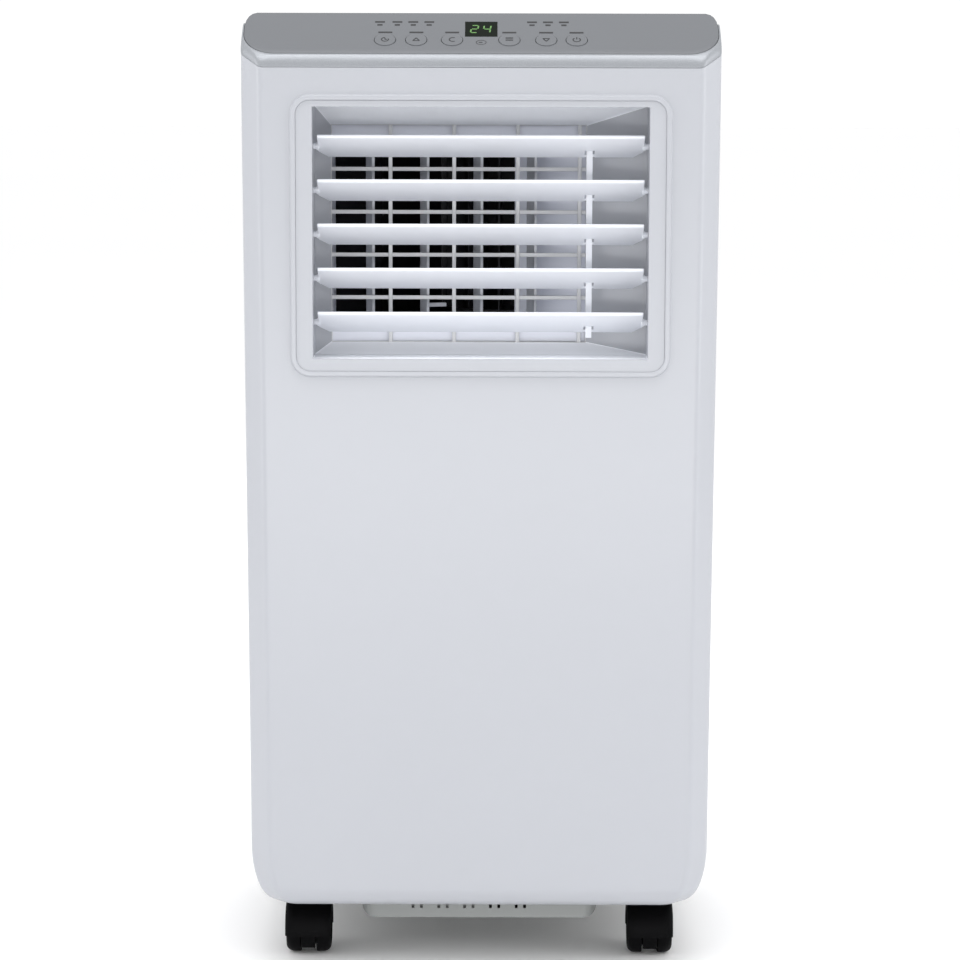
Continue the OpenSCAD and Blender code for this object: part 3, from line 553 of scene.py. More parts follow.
def fins_with_painted_gap_shade(name, rgb):
    """Stacked fins seen edge-on, 1.8 mm apart: light fin edges with painted shade in the dark gaps
    between them.
    """
    finish = Finish(name)
    fins, dents = finish.wave("X", 1.8 * MM), finish.noise(60.0)
    # painted shade: the gaps between the fins are darkened
    base = finish.blend(0.5 + 0.5 * fins, shade(rgb, 0.35), shade(rgb, 1.05))
    return finish.surface(base, 0.35 + 0.2 * dents, fins, 0.3 * MM, Metallic=0.9)


def spangled(name, rgb):
    """Galvanised sheet: large zinc crystals with their own lightness."""
    finish = Finish(name)
    tone = finish.crystals(140.0, "Y")
    base = finish.blend(tone, shade(rgb, 0.8), shade(rgb, 1.1))
    return finish.surface(base, 0.3 + 0.25 * tone, tone, 0.01 * MM, Metallic=1.0)


def net_with_painted_gap_shade(name, rgb):
    """Nylon filter net: threads along X and Z, 1.2 mm apart; light threads, with painted shade in
    the dark gaps where the open mesh shows shade behind it.
    """
    finish = Finish(name)
    threads = finish.math("MAXIMUM", finish.wave("X", 1.2 * MM), finish.wave("Z", 1.2 * MM))
    # painted shade: the gaps between the threads are darkened
    base = finish.blend(0.5 + 0.5 * threads, shade(rgb, 0.3), rgb)
    return finish.surface(base, 0.55 - 0.1 * threads, threads, 0.2 * MM)


def printed_board(name):
    """Circuit board: green mask with lighter tracks on a 2.5 mm grid."""
    finish = Finish(name)
    blotch = finish.noise(110.0)
    tracks = (finish.wave("X", 2.5 * MM) > 0.55) * (blotch > 0.5)
    base = finish.blend(tracks, (0.01, 0.09, 0.035), (0.03, 0.22, 0.08))
    return finish.surface(base, 0.35 + 0.15 * blotch, tracks, 0.05 * MM)


def lit(name, rgb, strength):
    """A lit segment whose light varies slightly along it."""
    finish = Finish(name)
    slow = finish.noise(300.0)
    glow = finish.blend(slow, shade(rgb, 0.85), shade(rgb, 1.15))
    return finish.surface(glow, 0.4 + 0.1 * slow, Emission_Color=glow,
                          Emission_Strength=strength)


def make_finishes(colours):
    """Every finish of the object, by the name of its material slot."""
    black = tuple(colours.black)
    return {
        "gloss_white": moulded("Gloss white", colours.white, 0.36, 520.0, 0.008 * MM, 0.012,
                               Coat_Weight=0.25, Coat_Roughness=0.2),
        "satin_white": moulded("Satin white", colours.satin, 0.42, 1500.0, 0.02 * MM, 0.02),
        "silver_trim": metallic_paint("Silver trim", colours.silver, 0.30, 3200.0),
        "grey_panel": moulded("Panel grey", colours.panel, 0.44, 1800.0, 0.015 * MM, 0.025),
        "display_black": moulded("Display black", (0.004, 0.007, 0.004), 0.2, 300.0,
                                 0.002 * MM, 0.1, Specular_IOR_Level=0.06),
        "circuit_board": printed_board("Circuit board"),
        # the bezel's white, with painted light on the throat behind it
        "frame_white": painted_light_throat("Frame white", colours.white, colours.throat, 0.34),
        # painted light: the blades' white is made lighter than the moulding's white
        "blade_white": moulded("Blade white", colours.blade, 0.36, 1300.0, 0.012 * MM, 0.015),
        # painted shade: the vanes take a darker copy of the blade white, standing in for the shade
        # deep behind the guard grid
        "vane_painted_shade": moulded("Vane grey", shade(colours.blade, 0.72), 0.4, 1300.0, 0.012 * MM),
        "grid_grey": moulded("Guard grey", colours.grid, 0.45, 1500.0, 0.02 * MM),
        # partly painted light: grey of the duct and tray, lightened for the light reaching into it
        "duct_grey": moulded("Duct grey", colours.duct, 0.5, 1200.0, 0.03 * MM),
        "scroll_black": moulded("Scroll black", shade(black, 4.0), 0.5, 900.0, 0.04 * MM, 0.2),
        "motor_steel": drawn_metal("Motor steel", (0.55, 0.56, 0.58), 0.35),
        "fin_aluminium": fins_with_painted_gap_shade("Fin aluminium", (0.78, 0.79, 0.80)),
        "foam_grey": moulded("Foam grey", (0.08, 0.08, 0.085), 0.9, 700.0, 0.4 * MM, 0.25),
        "compressor_black": moulded("Compressor paint", shade(black, 4.0), 0.3, 260.0,
                                    0.05 * MM, 0.2),
        "rubber_black": moulded("Rubber black", shade(black, 3.0), 0.65, 1600.0, 0.05 * MM, 0.2),
        "copper": drawn_metal("Copper", (0.72, 0.33, 0.19), 0.28),
        "galvanised": spangled("Galvanised sheet", (0.62, 0.64, 0.66)),
        "pan_grey": moulded("Pan grey", colours.pan, 0.45, 1300.0, 0.03 * MM, 0.03),
        "screw_steel": drawn_metal("Screw steel", (0.42, 0.42, 0.44), 0.3),
        "filter_nylon": net_with_painted_gap_shade("Filter nylon", (0.16, 0.17, 0.20)),
        "caster_black": moulded("Caster black", black, 0.5, 1100.0, 0.03 * MM, 0.3,
                                Specular_IOR_Level=0.05),
        "print": moulded("Printed marks", (0.012, 0.012, 0.014), 0.5, 2600.0, 0.004 * MM, 0.1),
        "lamp": lit("Lit segments", colours.lamp, 0.1),
    }


# ---------- pieces ----------

class AC_OT_finishes(bpy.types.Operator):
    """Make the finishes and put one on every node of the frame"""
    bl_idname = "air_conditioner.finishes"
    bl_label = "Finishes"

    def execute(self, context):
        finishes.update(make_finishes(context.scene.ac_finish))
        for name, node in frame["nodes"].items():
            node.data.materials.clear()
            node.data.materials.append(finishes[SLOT_OF[name]])
        return {"FINISHED"}


class AC_OT_front_shell(bpy.types.Operator):
    """Build the glossy front moulding with its raised lip round the outlet"""
    bl_idname = "air_conditioner.front_shell"
    bl_label = "Front shell"

    def execute(self, context):
        housing, top = context.scene.ac_housing, context.scene.ac_top
        piece = new_piece("front_moulding", front_patches(housing, top.slope), "root",
                          "gloss_white", ("front_shell",), smooth=50)
        skin = piece.modifiers.new("Wall", "SOLIDIFY")
        skin.thickness = housing.skin
        skin.offset = -1
        return {"FINISHED"}


def front_patches(housing, slope):
    """The front wall as rows of the plan outline up the height, and the lip.

    Each row is the plan at that height: side, soft-edged chamfer, front, chamfer, side.
    Rows and columns that meet the lip are drawn onto a rounded rectangle, the block inside
    is left out, and the lip's profile is carried round the same rectangle."""
    margin = 0.8 * MM
    reach = BEZEL_GAP + housing.lip_width + margin
    hole_x = BEZEL_HIGH.x + reach
    low, high = BEZEL_LOW.z - reach, BEZEL_HIGH.z + reach
    radius = housing.aperture_radius + housing.lip_width + margin

    foot_rows = FOOT_Z + housing.foot_height * np.linspace(0, 1, 22) ** 1.5
    wall_rows = np.linspace(foot_rows[-1], low, 26)[1:-1]
    hole_rows = spread(low, high, radius, 7, 14)
    z = np.concatenate([foot_rows, wall_rows, hole_rows])
    first, last = len(foot_rows) + len(wall_rows), len(z) - 1
    climb = np.concatenate([np.linspace(0, 0.9, 7)[1:], np.full(5, 1.0)])
    roll = np.concatenate([np.zeros(6), np.linspace(0, 1, 5)])
    z = np.concatenate([z, np.full(len(climb), high)])

    width, front = half_width(z, housing), front_wall(z, housing)
    corner, start, end = chamfered_corner(width, front, housing)
    back = np.stack([width, np.full_like(width, SPLIT_Y)], -1)
    hole = hole_x * np.clip(start[:, 0] / start[len(foot_rows) - 1, 0], 0, 1)
    columns = spread(-hole_x, hole_x, radius, 7, 16)
    middle = np.stack([hole[:, None] * (columns / hole_x),
                       np.repeat(front[:, None], len(columns), 1)], -1)
    to_corner = stretch(middle[:, -1], start, 5)
    side = np.concatenate([stretch(end, back, 14), back[:, None]], 1)
    right = np.concatenate([to_corner[:, 1:], corner, side], 1)
    left = right[:, ::-1] * [-1, 1]
    plan = np.concatenate([left, middle, right], 1)

    height = np.repeat(z[:, None], plan.shape[1], 1)
    above = np.arange(len(z)) > last
    edge = roof(plan[-1, :, 1], SEAM_Z - 0.15 * MM, SHOULDER_Z, slope)
    roll_r = 0.35 * MM
    top_rows = high + climb[:, None] * (edge - roll_r - high)
    top_rows += roll_r * np.sin(roll[:, None] * pi / 2)
    height[above] = top_rows
    plan[above] -= outward(plan[above]) * roll_r * (1 - np.cos(roll * pi / 2))[:, None, None]

    points = np.stack([plan[..., 0], plan[..., 1], height], -1)
    j0 = left.shape[1]
    j1 = j0 + len(columns) - 1
    ring_rows = np.concatenate([np.full(j1 - j0, first), np.arange(first, last),
                                np.full(j1 - j0, last), np.arange(last, first, -1)])
    ring_columns = np.concatenate([np.arange(j0, j1), np.full(last - first, j1),
                                   np.arange(j1, j0, -1), np.full(last - first, j0)])
    rect = points[ring_rows, ring_columns][:, [0, 2]]
    centre = np.clip(rect, [-hole_x + radius, low + radius], [hole_x - radius, high - radius])
    away = (rect - centre) / np.linalg.norm(rect - centre, axis=1, keepdims=True)
    ring = centre + radius * away
    points[ring_rows, ring_columns, 0] = ring[:, 0]
    points[ring_rows, ring_columns, 2] = ring[:, 1]

    rows, count = points.shape[:2]
    cell_row, cell_column = np.divmod(np.arange((rows - 1) * (count - 1)), count - 1)
    inside = ((cell_row >= first) & (cell_row < last)
              & (cell_column >= j0) & (cell_column < j1))
    wall = points.reshape(-1, 3), grid_faces(rows, count)[~inside]

    h, w = housing.lip_height, housing.lip_width + margin
    profile = np.array([[0, 0], [0.35 * MM, 0.06 * MM], [0.6 * MM, 0.25 * MM],
                        [0.75 * MM, 0.6 * MM], [0.85 * MM, h - 0.75 * MM],
                        [1.05 * MM, h - 0.3 * MM], [1.5 * MM, h - 0.04 * MM], [2.1 * MM, h],
                        [w - 1.1 * MM, h], [w - 0.5 * MM, h - 0.06 * MM],
                        [w - 0.12 * MM, h - 0.4 * MM], [w, h - 0.9 * MM], [w, -8 * MM]])
    spot = ring[None] - away[None] * profile[:, None, :1]
    lip = np.stack([spot[..., 0], np.repeat(FRONT_Y - profile[:, 1:], len(ring), 1),
                    spot[..., 1]], -1)
    return [wall, surface(lip, ring_columns=True)]


def spread(low, high, end, end_steps, middle_steps):
    """Places from low to high, close together over the given length at each end."""
    return np.concatenate([np.linspace(low, low + end, end_steps)[:-1],
                           np.linspace(low + end, high - end, middle_steps),
                           np.linspace(high - end, high, end_steps)[1:]])


class AC_OT_top_cover(bpy.types.Operator):
    """Build the silver band that carries the control panel"""
    bl_idname = "air_conditioner.top_cover"
    bl_label = "Top cover"

    def execute(self, context):
        new_piece("silver_band", [band_patch(context.scene.ac_housing, context.scene.ac_top)],
                  "root", "silver_trim", ("top_cover",), smooth=60)
        return {"FINISHED"}


def half_loop(front, corner, side_end, centre, radius):
    """Right half of a plan loop from the middle of the front to the middle of the rear."""
    front_start = np.array([0.0, front])
    t = np.linspace(0, 1, 36, endpoint=False)[:, None] ** 1.8
    side = corner[-1] * (1 - t) + np.array([side_end, centre[1]]) * t
    turn = np.linspace(0, pi / 2, 12)[:, None]
    rear = centre + radius * np.concatenate([np.cos(turn), np.sin(turn)], 1)
    last = np.array([0.0, centre[1] + radius])
    return np.concatenate([stretch(front_start, corner[0], 14), corner[:-1], side, rear,
                           stretch(rear[-1], last, 8)[1:], last[None]])


def whole_loop(half):
    """A closed loop from its right half."""
    return np.concatenate([half, half[-2:0:-1] * [-1, 1]])


def band_patch(housing, top):
    """The band's section carried round the plan and closed on itself.

    Outer points follow the chamfered housing and inner ones the panel's round corners;
    heights follow the roof at each point's own depth."""
    corner, start, end = chamfered_corner(np.array(HALF_WIDTH), np.array(FRONT_Y), housing)
    corner = np.concatenate([corner, end[None]])
    r = housing.rear_radius
    outer = half_loop(FRONT_Y, corner, HALF_WIDTH, np.array([HALF_WIDTH - r, REAR_Y - r]), r)

    def panel_loop(grow):
        x = HALF_WIDTH - top.panel_inset + grow
        y0 = FRONT_Y + top.panel_setback - grow
        y1 = REAR_Y - top.panel_inset - 2 * MM + grow
        r1 = top.panel_radius + grow
        a = np.linspace(-pi / 2, 0, len(corner))[:, None]
        arc = np.array([x - r1, y0 + r1]) + r1 * np.concatenate([np.cos(a), np.sin(a)], 1)
        return half_loop(y0, arc, x, np.array([x - r1, y1 - r1]), r1)

    outer, edge, recess = (whole_loop(outer), whole_loop(panel_loop(top.land)),
                           whole_loop(panel_loop(0.0)))
    inward = whole_loop(panel_loop(-3 * MM))
    seam = roof(outer[:, 1], SEAM_Z, SHOULDER_Z + 0.15 * MM, top.slope)
    rim = seam + top.band

    def land(loop):
        return roof(loop[:, 1], SEAM_Z + top.edge_rise, COVER_TOP, top.slope)

    def at(loop, height):
        return np.concatenate([loop, height[:, None]], 1)

    inner_foot = outer + (inward - outer) * 0.45
    a, c = at(outer, seam + 0.5 * MM), at(outer, rim)
    e = at(edge, land(edge))
    b = c + (e - c) * 0.75
    t = np.linspace(0, 1, 11)[:, None, None]
    face = parabola(a, c, b, t)
    close = e + (at(recess, land(recess)) - e) * 0.35
    t = np.linspace(0, 1, 6)[1:, None, None]
    shoulder = parabola(b, e, close, t)
    wall = [at(recess + (edge - recess) * 0.2, land(recess) - 0.05 * MM),
            at(recess, land(recess) - 0.3 * MM), at(recess, land(recess) - 2.2 * MM),
            at(inward, land(inward) - 2.2 * MM)]
    foot = [at(inner_foot, seam), at(outer + (inward - outer) * 0.03, seam),
            at(outer + (inward - outer) * 0.008, seam + 0.12 * MM)]
    rows = np.concatenate([np.stack(foot), face, shoulder, np.stack(wall)])
    return surface(rows, ring_rows=True, ring_columns=True)


class AC_OT_controls(bpy.types.Operator):
    """Build the grey panel, the display with its digits, and the printed marks"""
    bl_idname = "air_conditioner.controls"
    bl_label = "Control panel"

    def execute(self, context):
        top = context.scene.ac_top
        eased_copy("top_panel", "root", "grey_panel", 0.4 * MM, segments=3)
        eased_copy("display_window", "root", "display_black", 0.25 * MM, segments=3)
        origin, axes = panel_plane(top)
        lit_face = origin + axes[2] * (WINDOW_LIFT + 0.02 * MM)
        new_piece("display_digits", [placed(p, lit_face, axes)
                                     for p in seven_segments("24", top.mark)],
                  "root", "display_black", finish="lamp")
        new_piece("printed_marks", [placed(p, origin, axes) for p in panel_marks(top.mark)],
                  "root", "display_black", finish="print")
        return {"FINISHED"}


def panel_plane(top):
    """Origin under the display and axes along, up and out of the sloped panel."""
    axes = np.array([[1, 0, 0], [0, cos(top.slope), sin(top.slope)],
                     [0, -sin(top.slope), cos(top.slope)]])
    low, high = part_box("display_window")
    return np.array((low + high) / 2) + axes[2] * WINDOW_MIDDLE, axes


def stroke(path, width, height):
    """A flat stroke along a path in the plane: a low ridge with square ends."""
    path = np.asarray(path, float)
    tangent = np.gradient(path, axis=0)
    tangent /= np.linalg.norm(tangent, axis=1, keepdims=True)
    side = np.stack([-tangent[:, 1], tangent[:, 0]], 1) * width / 2
    left, right = path + side, path - side
    low, high = np.full((len(path), 1), -height), np.full((len(path), 1), height)
    ring = [np.concatenate(pair, 1) for pair in
            ((left, low), (left, high), (right, high), (right, low))]
    return closed_bar(np.stack(ring, 1))


def arc(radius, start, end, centre=(0.0, 0.0), steps=24, squash=1.0):
    """Points of an arc in degrees; a squash below 1 makes it an ellipse."""
    a = np.radians(np.linspace(start, end, steps))
    return np.stack([centre[0] + radius * np.cos(a), centre[1] + squash * radius * np.sin(a)], 1)


def seven_segments(text, height):
    """Digits made of straight segments, 9.5 mm high."""
    w, h, gap = 4.6 * MM, 4.6 * MM, 0.5 * MM
    ends = {"a": ((0, 2), (1, 2)), "b": ((1, 1), (1, 2)), "c": ((1, 0), (1, 1)),
            "d": ((0, 0), (1, 0)), "e": ((0, 0), (0, 1)), "f": ((0, 1), (0, 2)),
            "g": ((0, 1), (1, 1))}
    patches = []
    for place, digit in enumerate(text):
        corner = np.array([(-7.4 + 8.6 * place) * MM, -4.8 * MM])
        for segment in SEGMENTS[digit]:
            a, b = (np.array(end) * [w, h] for end in ends[segment])
            along = (b - a) / np.linalg.norm(b - a)
            lean = np.array([0.1, 0.0])
            path = np.array([a + along * gap, b - along * gap])
            path += path[:, 1:] * lean
            patches.append(stroke(path + corner, 1.0 * MM, height))
    return patches


def panel_marks(height):
    """Plain label bars over the buttons, status marks, and the remote sensor's ring."""
    def bar(x, y, wide, thick):
        return stroke([[x - wide / 2, y], [x + wide / 2, y]], thick, height)

    buttons = (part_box(f"button_{number}") for number in range(1, 7))
    patches = [bar((low.x + high.x) / 2, LABEL_RISE, 9.6 * MM, 1.9 * MM) for low, high in buttons]
    for x in STATUS_PLACES:
        patches += [bar(x, STATUS_RISE, 6.8 * MM, 2 * MM),
                    bar(x, STATUS_RISE - 3.8 * MM, 3.6 * MM, 2 * MM)]
    ring = stroke(arc(3.4 * MM, 0, 360, (0, SENSOR_RISE), 33, 0.8), 0.5 * MM, height)
    return [*patches, ring, bar(-0.4 * MM, SENSOR_RISE, 2.6 * MM, 1.2 * MM)]


class AC_OT_buttons(bpy.types.Operator):
    """Build the six push buttons with their plain signs"""
    bl_idname = "air_conditioner.buttons"
    bl_label = "Buttons"

    def execute(self, context):
        top = context.scene.ac_top
        _, axes = panel_plane(top)
        for number, sign in enumerate(SIGNS, 1):
            low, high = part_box(f"button_{number}")
            radius = (high.x - low.x) / 2
            centre = np.array([(low.x + high.x) / 2,
                               low.y + radius * cos(top.slope) + CAP_TOP * sin(top.slope),
                               high.z - radius * sin(top.slope) - CAP_TOP * cos(top.slope)])
            turned = [axes[2], axes[0], axes[1]]
            body = f"button_{number}"
            cap = placed(lathe(cap_profile(radius), 64), centre, turned)
            new_piece(f"push_button_{number}", [cap], body, "grey_panel", (body,))
            face = centre + axes[2] * (CAP_TOP - 0.07 * MM)
            marks = [stroke(np.array(path) * MM, 0.8 * MM, top.mark) for path in sign]
            ring = stroke(arc(radius - 0.9 * MM, 0, 360, steps=65), 0.85 * MM, top.mark)
            new_piece(f"button_sign_{number}", [placed(m, face, axes) for m in marks]
                      + [placed(ring, centre + axes[2] * 0.01 * MM, axes)],
                      body, "display_black", finish="print")
        return {"FINISHED"}


def cap_profile(radius):
    """A cap on its plunger: rounded rim and a shallow dish, as (height, radius)."""
    rim = np.linspace(0, pi / 2, 6)
    edge = 0.45 * MM
    rounded = np.stack([CAP_TOP - edge + edge * np.sin(rim),
                        radius - edge + edge * np.cos(rim)], 1)
    return np.concatenate([[[-9.3 * MM, 0], [-9.3 * MM, 2.4 * MM], [-1.3 * MM, 2.4 * MM],
                            [-1.3 * MM, radius]], rounded,
                           [[CAP_TOP - 0.03 * MM, 5.2 * MM], [CAP_TOP - 0.09 * MM, 3 * MM],
                            [CAP_TOP - 0.11 * MM, 0]]])


SIGNS = [
    [arc(2.4, 90, 380, steps=18), [[0, 0], [0, 1.6]], [[0, 0], [1.3, 0]]],
    [[[-2.2, -1.4], [0, 2.0]], [[2.2, -1.4], [0, 2.0]], [[-2.4, -1.5], [2.4, -1.5]]],
    [arc(2.5, 60, 300, (0.6, 0), 14)],
    [[[-2.6, 0.9], [2.6, 0.9]], [[-2.6, -0.9], [2.6, -0.9]], [[-2.6, 2.4], [2.6, 2.4]]],
    [[[-2.2, 1.4], [0, -2.0]], [[2.2, 1.4], [0, -2.0]], [[-2.4, 1.5], [2.4, 1.5]]],
    [arc(2.5, 130, 410, steps=18), [[0, 0.6], [0, 3.2]]],
]


class AC_OT_blades(bpy.types.Operator):
    """Build the louvre blades with rolled edges, link notches and pivot pins"""
    bl_idname = "air_conditioner.blades"
    bl_label = "Louvre blades"

    def execute(self, context):
        louvre = context.scene.ac_louvre
        a = louvre.tilt
        axes = [[1, 0, 0], [0, cos(a), -sin(a)], [0, sin(a), cos(a)]]
        for number in range(1, louvre.blades + 1):
            node = f"blade_{number}"
            low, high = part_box(node)
            pivot = np.array([0, (low.y + high.y) / 2, (low.z + high.z) / 2])
            new_piece(f"louvre_{node}", [placed(p, pivot, axes) for p in blade_patches(louvre)],
                      node, "blade_white", (node,), smooth=40)
        return {"FINISHED"}


def blade_patches(louvre):
    """A rounded blade section at stations along X, its rear edge drawn in at the ends and notch."""
    h, c, r = louvre.half_length, louvre.chord / 2, louvre.plate
    n0, n1 = (louvre.notch_x + side * louvre.notch_width / 2 for side in (-1, 1))
    notch = louvre.crank - 8 * MM
    stations = np.array([
        [-h, c - 8.3 * MM, 0.6], [-h + 0.3 * MM, c - 7.8 * MM, 1], [-h + 7 * MM, c, 1],
        [-h / 2, c, 1], [0, c, 1], [n0, c, 1], [n0, notch, 1], [n1, notch, 1], [n1, c, 1],
        [h - 7 * MM, c, 1], [h - 0.3 * MM, c - 7.8 * MM, 1], [h, c - 8.3 * MM, 0.6]])
    front = np.linspace(pi / 2, 3 * pi / 2, 13)
    rear = np.linspace(-pi / 2, pi / 2, 9)
    neck = 2.6 * louvre.bead
    x, reach, scale = (stations[:, i:i + 1] for i in range(3))
    bead_y = -c + louvre.bead + louvre.bead * np.cos(front) * scale
    bead_z = louvre.bead * np.sin(front) * scale
    rear_y = reach - r + r * np.cos(rear) * scale
    rear_z = r * np.sin(rear) * scale
    neck_y = np.full_like(x, neck - c)
    y = np.concatenate([bead_y, neck_y, rear_y, neck_y], 1)
    z = np.concatenate([bead_z, -r * scale, rear_z, r * scale], 1)
    plate = closed_bar(np.stack([np.repeat(x, y.shape[1], 1), y, z], -1))
    pins = [placed(lathe(PIN_PROFILE, 32), [side * h, 0, 0], [[side, 0, 0], [0, 1, 0], [0, 0, 1]])
            for side in (-1, 1)]
    crank = placed(lathe([[n0 - 1 * MM, 0], [n0 - 1 * MM, 1 * MM], [n1 + 1 * MM, 1 * MM],
                          [n1 + 1 * MM, 0]], 20), [0, louvre.crank, 0])
    return [plate, *pins, crank]


class AC_OT_screws(bpy.types.Operator):
    """Build the housing screws with domed heads and cross recesses"""
    bl_idname = "air_conditioner.screws"
    bl_label = "Housing screws"

    def execute(self, context):
        radius = context.scene.ac_housing.screw_radius
        low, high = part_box("housing_screws")
        x = high.x - radius
        patches = []
        for z in SCREW_HEIGHTS:
            for side in (-1, 1):
                patches += [placed(p, [side * x, high.y, z], [[0, 1, 0], [1, 0, 0], [0, 0, 1]])
                            for p in screw_patches(radius)]
        new_piece("rear_screws", patches, "root", "screw_steel", ("housing_screws",),
                  facing=(0, 1, 0), smooth=40)
        return {"FINISHED"}


def screw_patches(radius):
    """Head as a polar height field, a dome less a cross-shaped recess, and a plain shank."""
    rings = np.concatenate([[0.0], np.linspace(0.12, 0.62, 9), np.linspace(0.7, 1, 5)]) * radius
    a = np.linspace(0, 2 * pi, 48, endpoint=False)
    u, v = rings[:, None] * np.cos(a), rings[:, None] * np.sin(a)
    dome = -1.1 * MM * (rings[:, None] / radius) ** 3 * np.ones_like(a)
    arm = np.minimum(np.abs(u), np.abs(v))
    inside = (arm < 0.14 * radius) & (rings[:, None] < 0.6 * radius)
    height = np.where(inside, dome - 0.9 * MM, dome)
    head = np.stack([height, u, v], -1)
    skirt = np.stack([np.full_like(a, -1.95 * MM), u[-1], v[-1]], -1)
    under = np.stack([np.full_like(a, -1.95 * MM), 0 * u[-1], 0 * v[-1]], -1)
    shank = lathe([[-12 * MM, 0], [-11.2 * MM, 1.5 * MM], [-1.9 * MM, 1.5 * MM],
                   [-1.9 * MM, 0]], 20)
    return [surface(np.concatenate([head, skirt[None], under[None]]), ring_columns=True), shank]


class AC_OT_casters(bpy.types.Operator):
    """Build the twin caster wheels and the hooded forks they turn in"""
    bl_idname = "air_conditioner.casters"
    bl_label = "Casters"

    def execute(self, context):
        for number in range(1, 5):
            wheel, fork = f"caster_wheel_{number}", f"caster_fork_{number}"
            low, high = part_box(wheel)
            axle = np.array((low + high) / 2)
            radius, half = (high.z - low.z) / 2, (high.x - low.x) / 2
            new_piece(f"twin_{wheel}", [placed(p, axle) for p in wheel_patches(radius, half)],
                      wheel, "caster_black", (wheel,), facing=(0, 0, 1), smooth=40)
            low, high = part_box(fork)
            new_piece(f"hooded_{fork}", fork_patches(axle, radius, low, high), fork,
                      "caster_black", (fork,), facing=(0, 0, 1), smooth=40)
        return {"FINISHED"}


def barrel(half, radius, shoulder, drop):
    """A barrel's section as (across, radius): flat in the middle, a quarter ellipse each end."""
    a = np.linspace(0, pi / 2, 10)
    right = np.stack([half - shoulder + shoulder * np.sin(a), radius - drop * (1 - np.cos(a))], 1)
    return np.concatenate([right[::-1] * [-1, 1], right])


def wheel_patches(radius, half):
    """Two rims with rounded shoulders and dished faces, turned about the axle, and the axle."""
    inner, face = WEB_HALF + 0.6 * MM, half - 2 * MM
    rim = barrel(half, radius, 5.5 * MM, 4.5 * MM)
    profile = np.concatenate([[[inner, 3 * MM], [inner, radius - 0.7 * MM],
                               [inner + 0.2 * MM, radius - 0.2 * MM], [inner + 0.7 * MM, radius]],
                              rim[len(rim) // 2:],
                              [[half - 0.4 * MM, radius - 5 * MM], [face, radius - 5.4 * MM],
                               [face, 6.5 * MM], [face + 1 * MM, 5.8 * MM],
                               [face + 1 * MM, 3 * MM]]])
    points = lathe(profile, 64)[0].reshape(len(profile), 64, 3)
    rims = [surface(points * [side, 1, 1], ring_rows=True, ring_columns=True)
            for side in (-1, 1)]
    axle = lathe([[1 * MM - half, 0], [1 * MM - half, 3 * MM], [half - 1 * MM, 3 * MM],
                  [half - 1 * MM, 0]], 32)
    return [*rims, axle]


def fork_patches(axle, wheel_radius, low, high):
    """Barrel-shaped hood over the wheels, web plate between them, and the stem with its collar.

    The hood is its section, outside and inside, carried round the axle over the top half."""
    half, reach = (high.x - low.x) / 2, axle[1] - low.y
    crown = barrel(half, reach, 7 * MM, 3.2 * MM)
    lining = barrel(half - 0.5 * MM, reach - HOOD_WALL, 6.5 * MM, 3.2 * MM)
    section = np.concatenate([crown, lining[::-1]])
    a = np.radians(np.linspace(-8, 188, 57))[:, None]
    hood = closed_bar(np.stack([np.repeat(section[None, :, 0], len(a), 0),
                                section[:, 1] * np.cos(a), section[:, 1] * np.sin(a)], -1))
    b = np.linspace(0, 2 * pi, 96, endpoint=False)
    clear = (wheel_radius - low.z) / np.maximum(-np.sin(b), 0.05)
    edge = np.minimum(reach - 1 * MM, clear)
    bore = np.full_like(b, 3.3 * MM)
    across = WEB_HALF * np.array([-1, -1, -0.92, 0.92, 1, 1])
    depth = np.stack([bore, edge - 0.4 * MM, edge, edge, edge - 0.4 * MM, bore])
    web = surface(np.stack([np.repeat(across[:, None], len(b), 1), depth * np.cos(b),
                            depth * np.sin(b)], -1), ring_rows=True, ring_columns=True)
    stem = lathe([[wheel_radius + 10 * MM, 0], [wheel_radius + 10 * MM, COLLAR_RADIUS],
                  [STEM_SHOULDER - 1 * MM, COLLAR_RADIUS],
                  [STEM_SHOULDER - 0.3 * MM, COLLAR_RADIUS - 0.3 * MM],
                  [STEM_SHOULDER, COLLAR_RADIUS - 1 * MM], [STEM_SHOULDER, STEM_RADIUS],
                  [high.z - 0.8 * MM, STEM_RADIUS], [high.z, STEM_RADIUS - 0.8 * MM],
                  [high.z, 0]], 40)
    return [placed(hood, axle), placed(web, axle),
            placed(stem, [axle[0], axle[1] + CASTER_TRAIL, 0], [[0, 0, 1], [1, 0, 0], [0, 1, 0]])]


# Rounding of each moulding's edges in millimetres.
EASED = {
    "left_side_panel": 0.7, "right_side_panel": 0.7, "rear_panel": 0.7, "louvre_frame": 0.25,
    "guard_grid": 0.35, "louvre_link": 0.5, "vane_link": 0.3, "lower_grille": 0.5,
    "exhaust_collar": 0.7, "handle_cups": 0.8, "filter_cover": 0.5, "base_pan": 0.6,
    "cord_gland": 0.7, "upper_drain_plug": 0.6, "lower_drain_plug": 0.6,
    **{f"vane_{number}": 0.35 for number in range(1, 5)},
}
# Finishes of the mouldings that don't take their slot's: the link takes the lighter blade white as
# painted light, the vanes a darker copy of it as painted shade.
FINISH_OF = {"louvre_link": "blade_white",
             **{f"vane_{number}": "vane_painted_shade" for number in range(1, 5)}}


class AC_OT_eased_parts(bpy.types.Operator):
    """Finish the moulded parts whose shape is the frame's own, with eased edges"""
    bl_idname = "air_conditioner.eased_parts"
    bl_label = "Eased mouldings"

    def execute(self, context):
        for node, ease in EASED.items():
            eased_copy(node, frame["nodes"][node]["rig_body"], SLOT_OF[node], ease * MM,
                       FINISH_OF.get(node))
        return {"FINISHED"}


# ---------- stage ----------

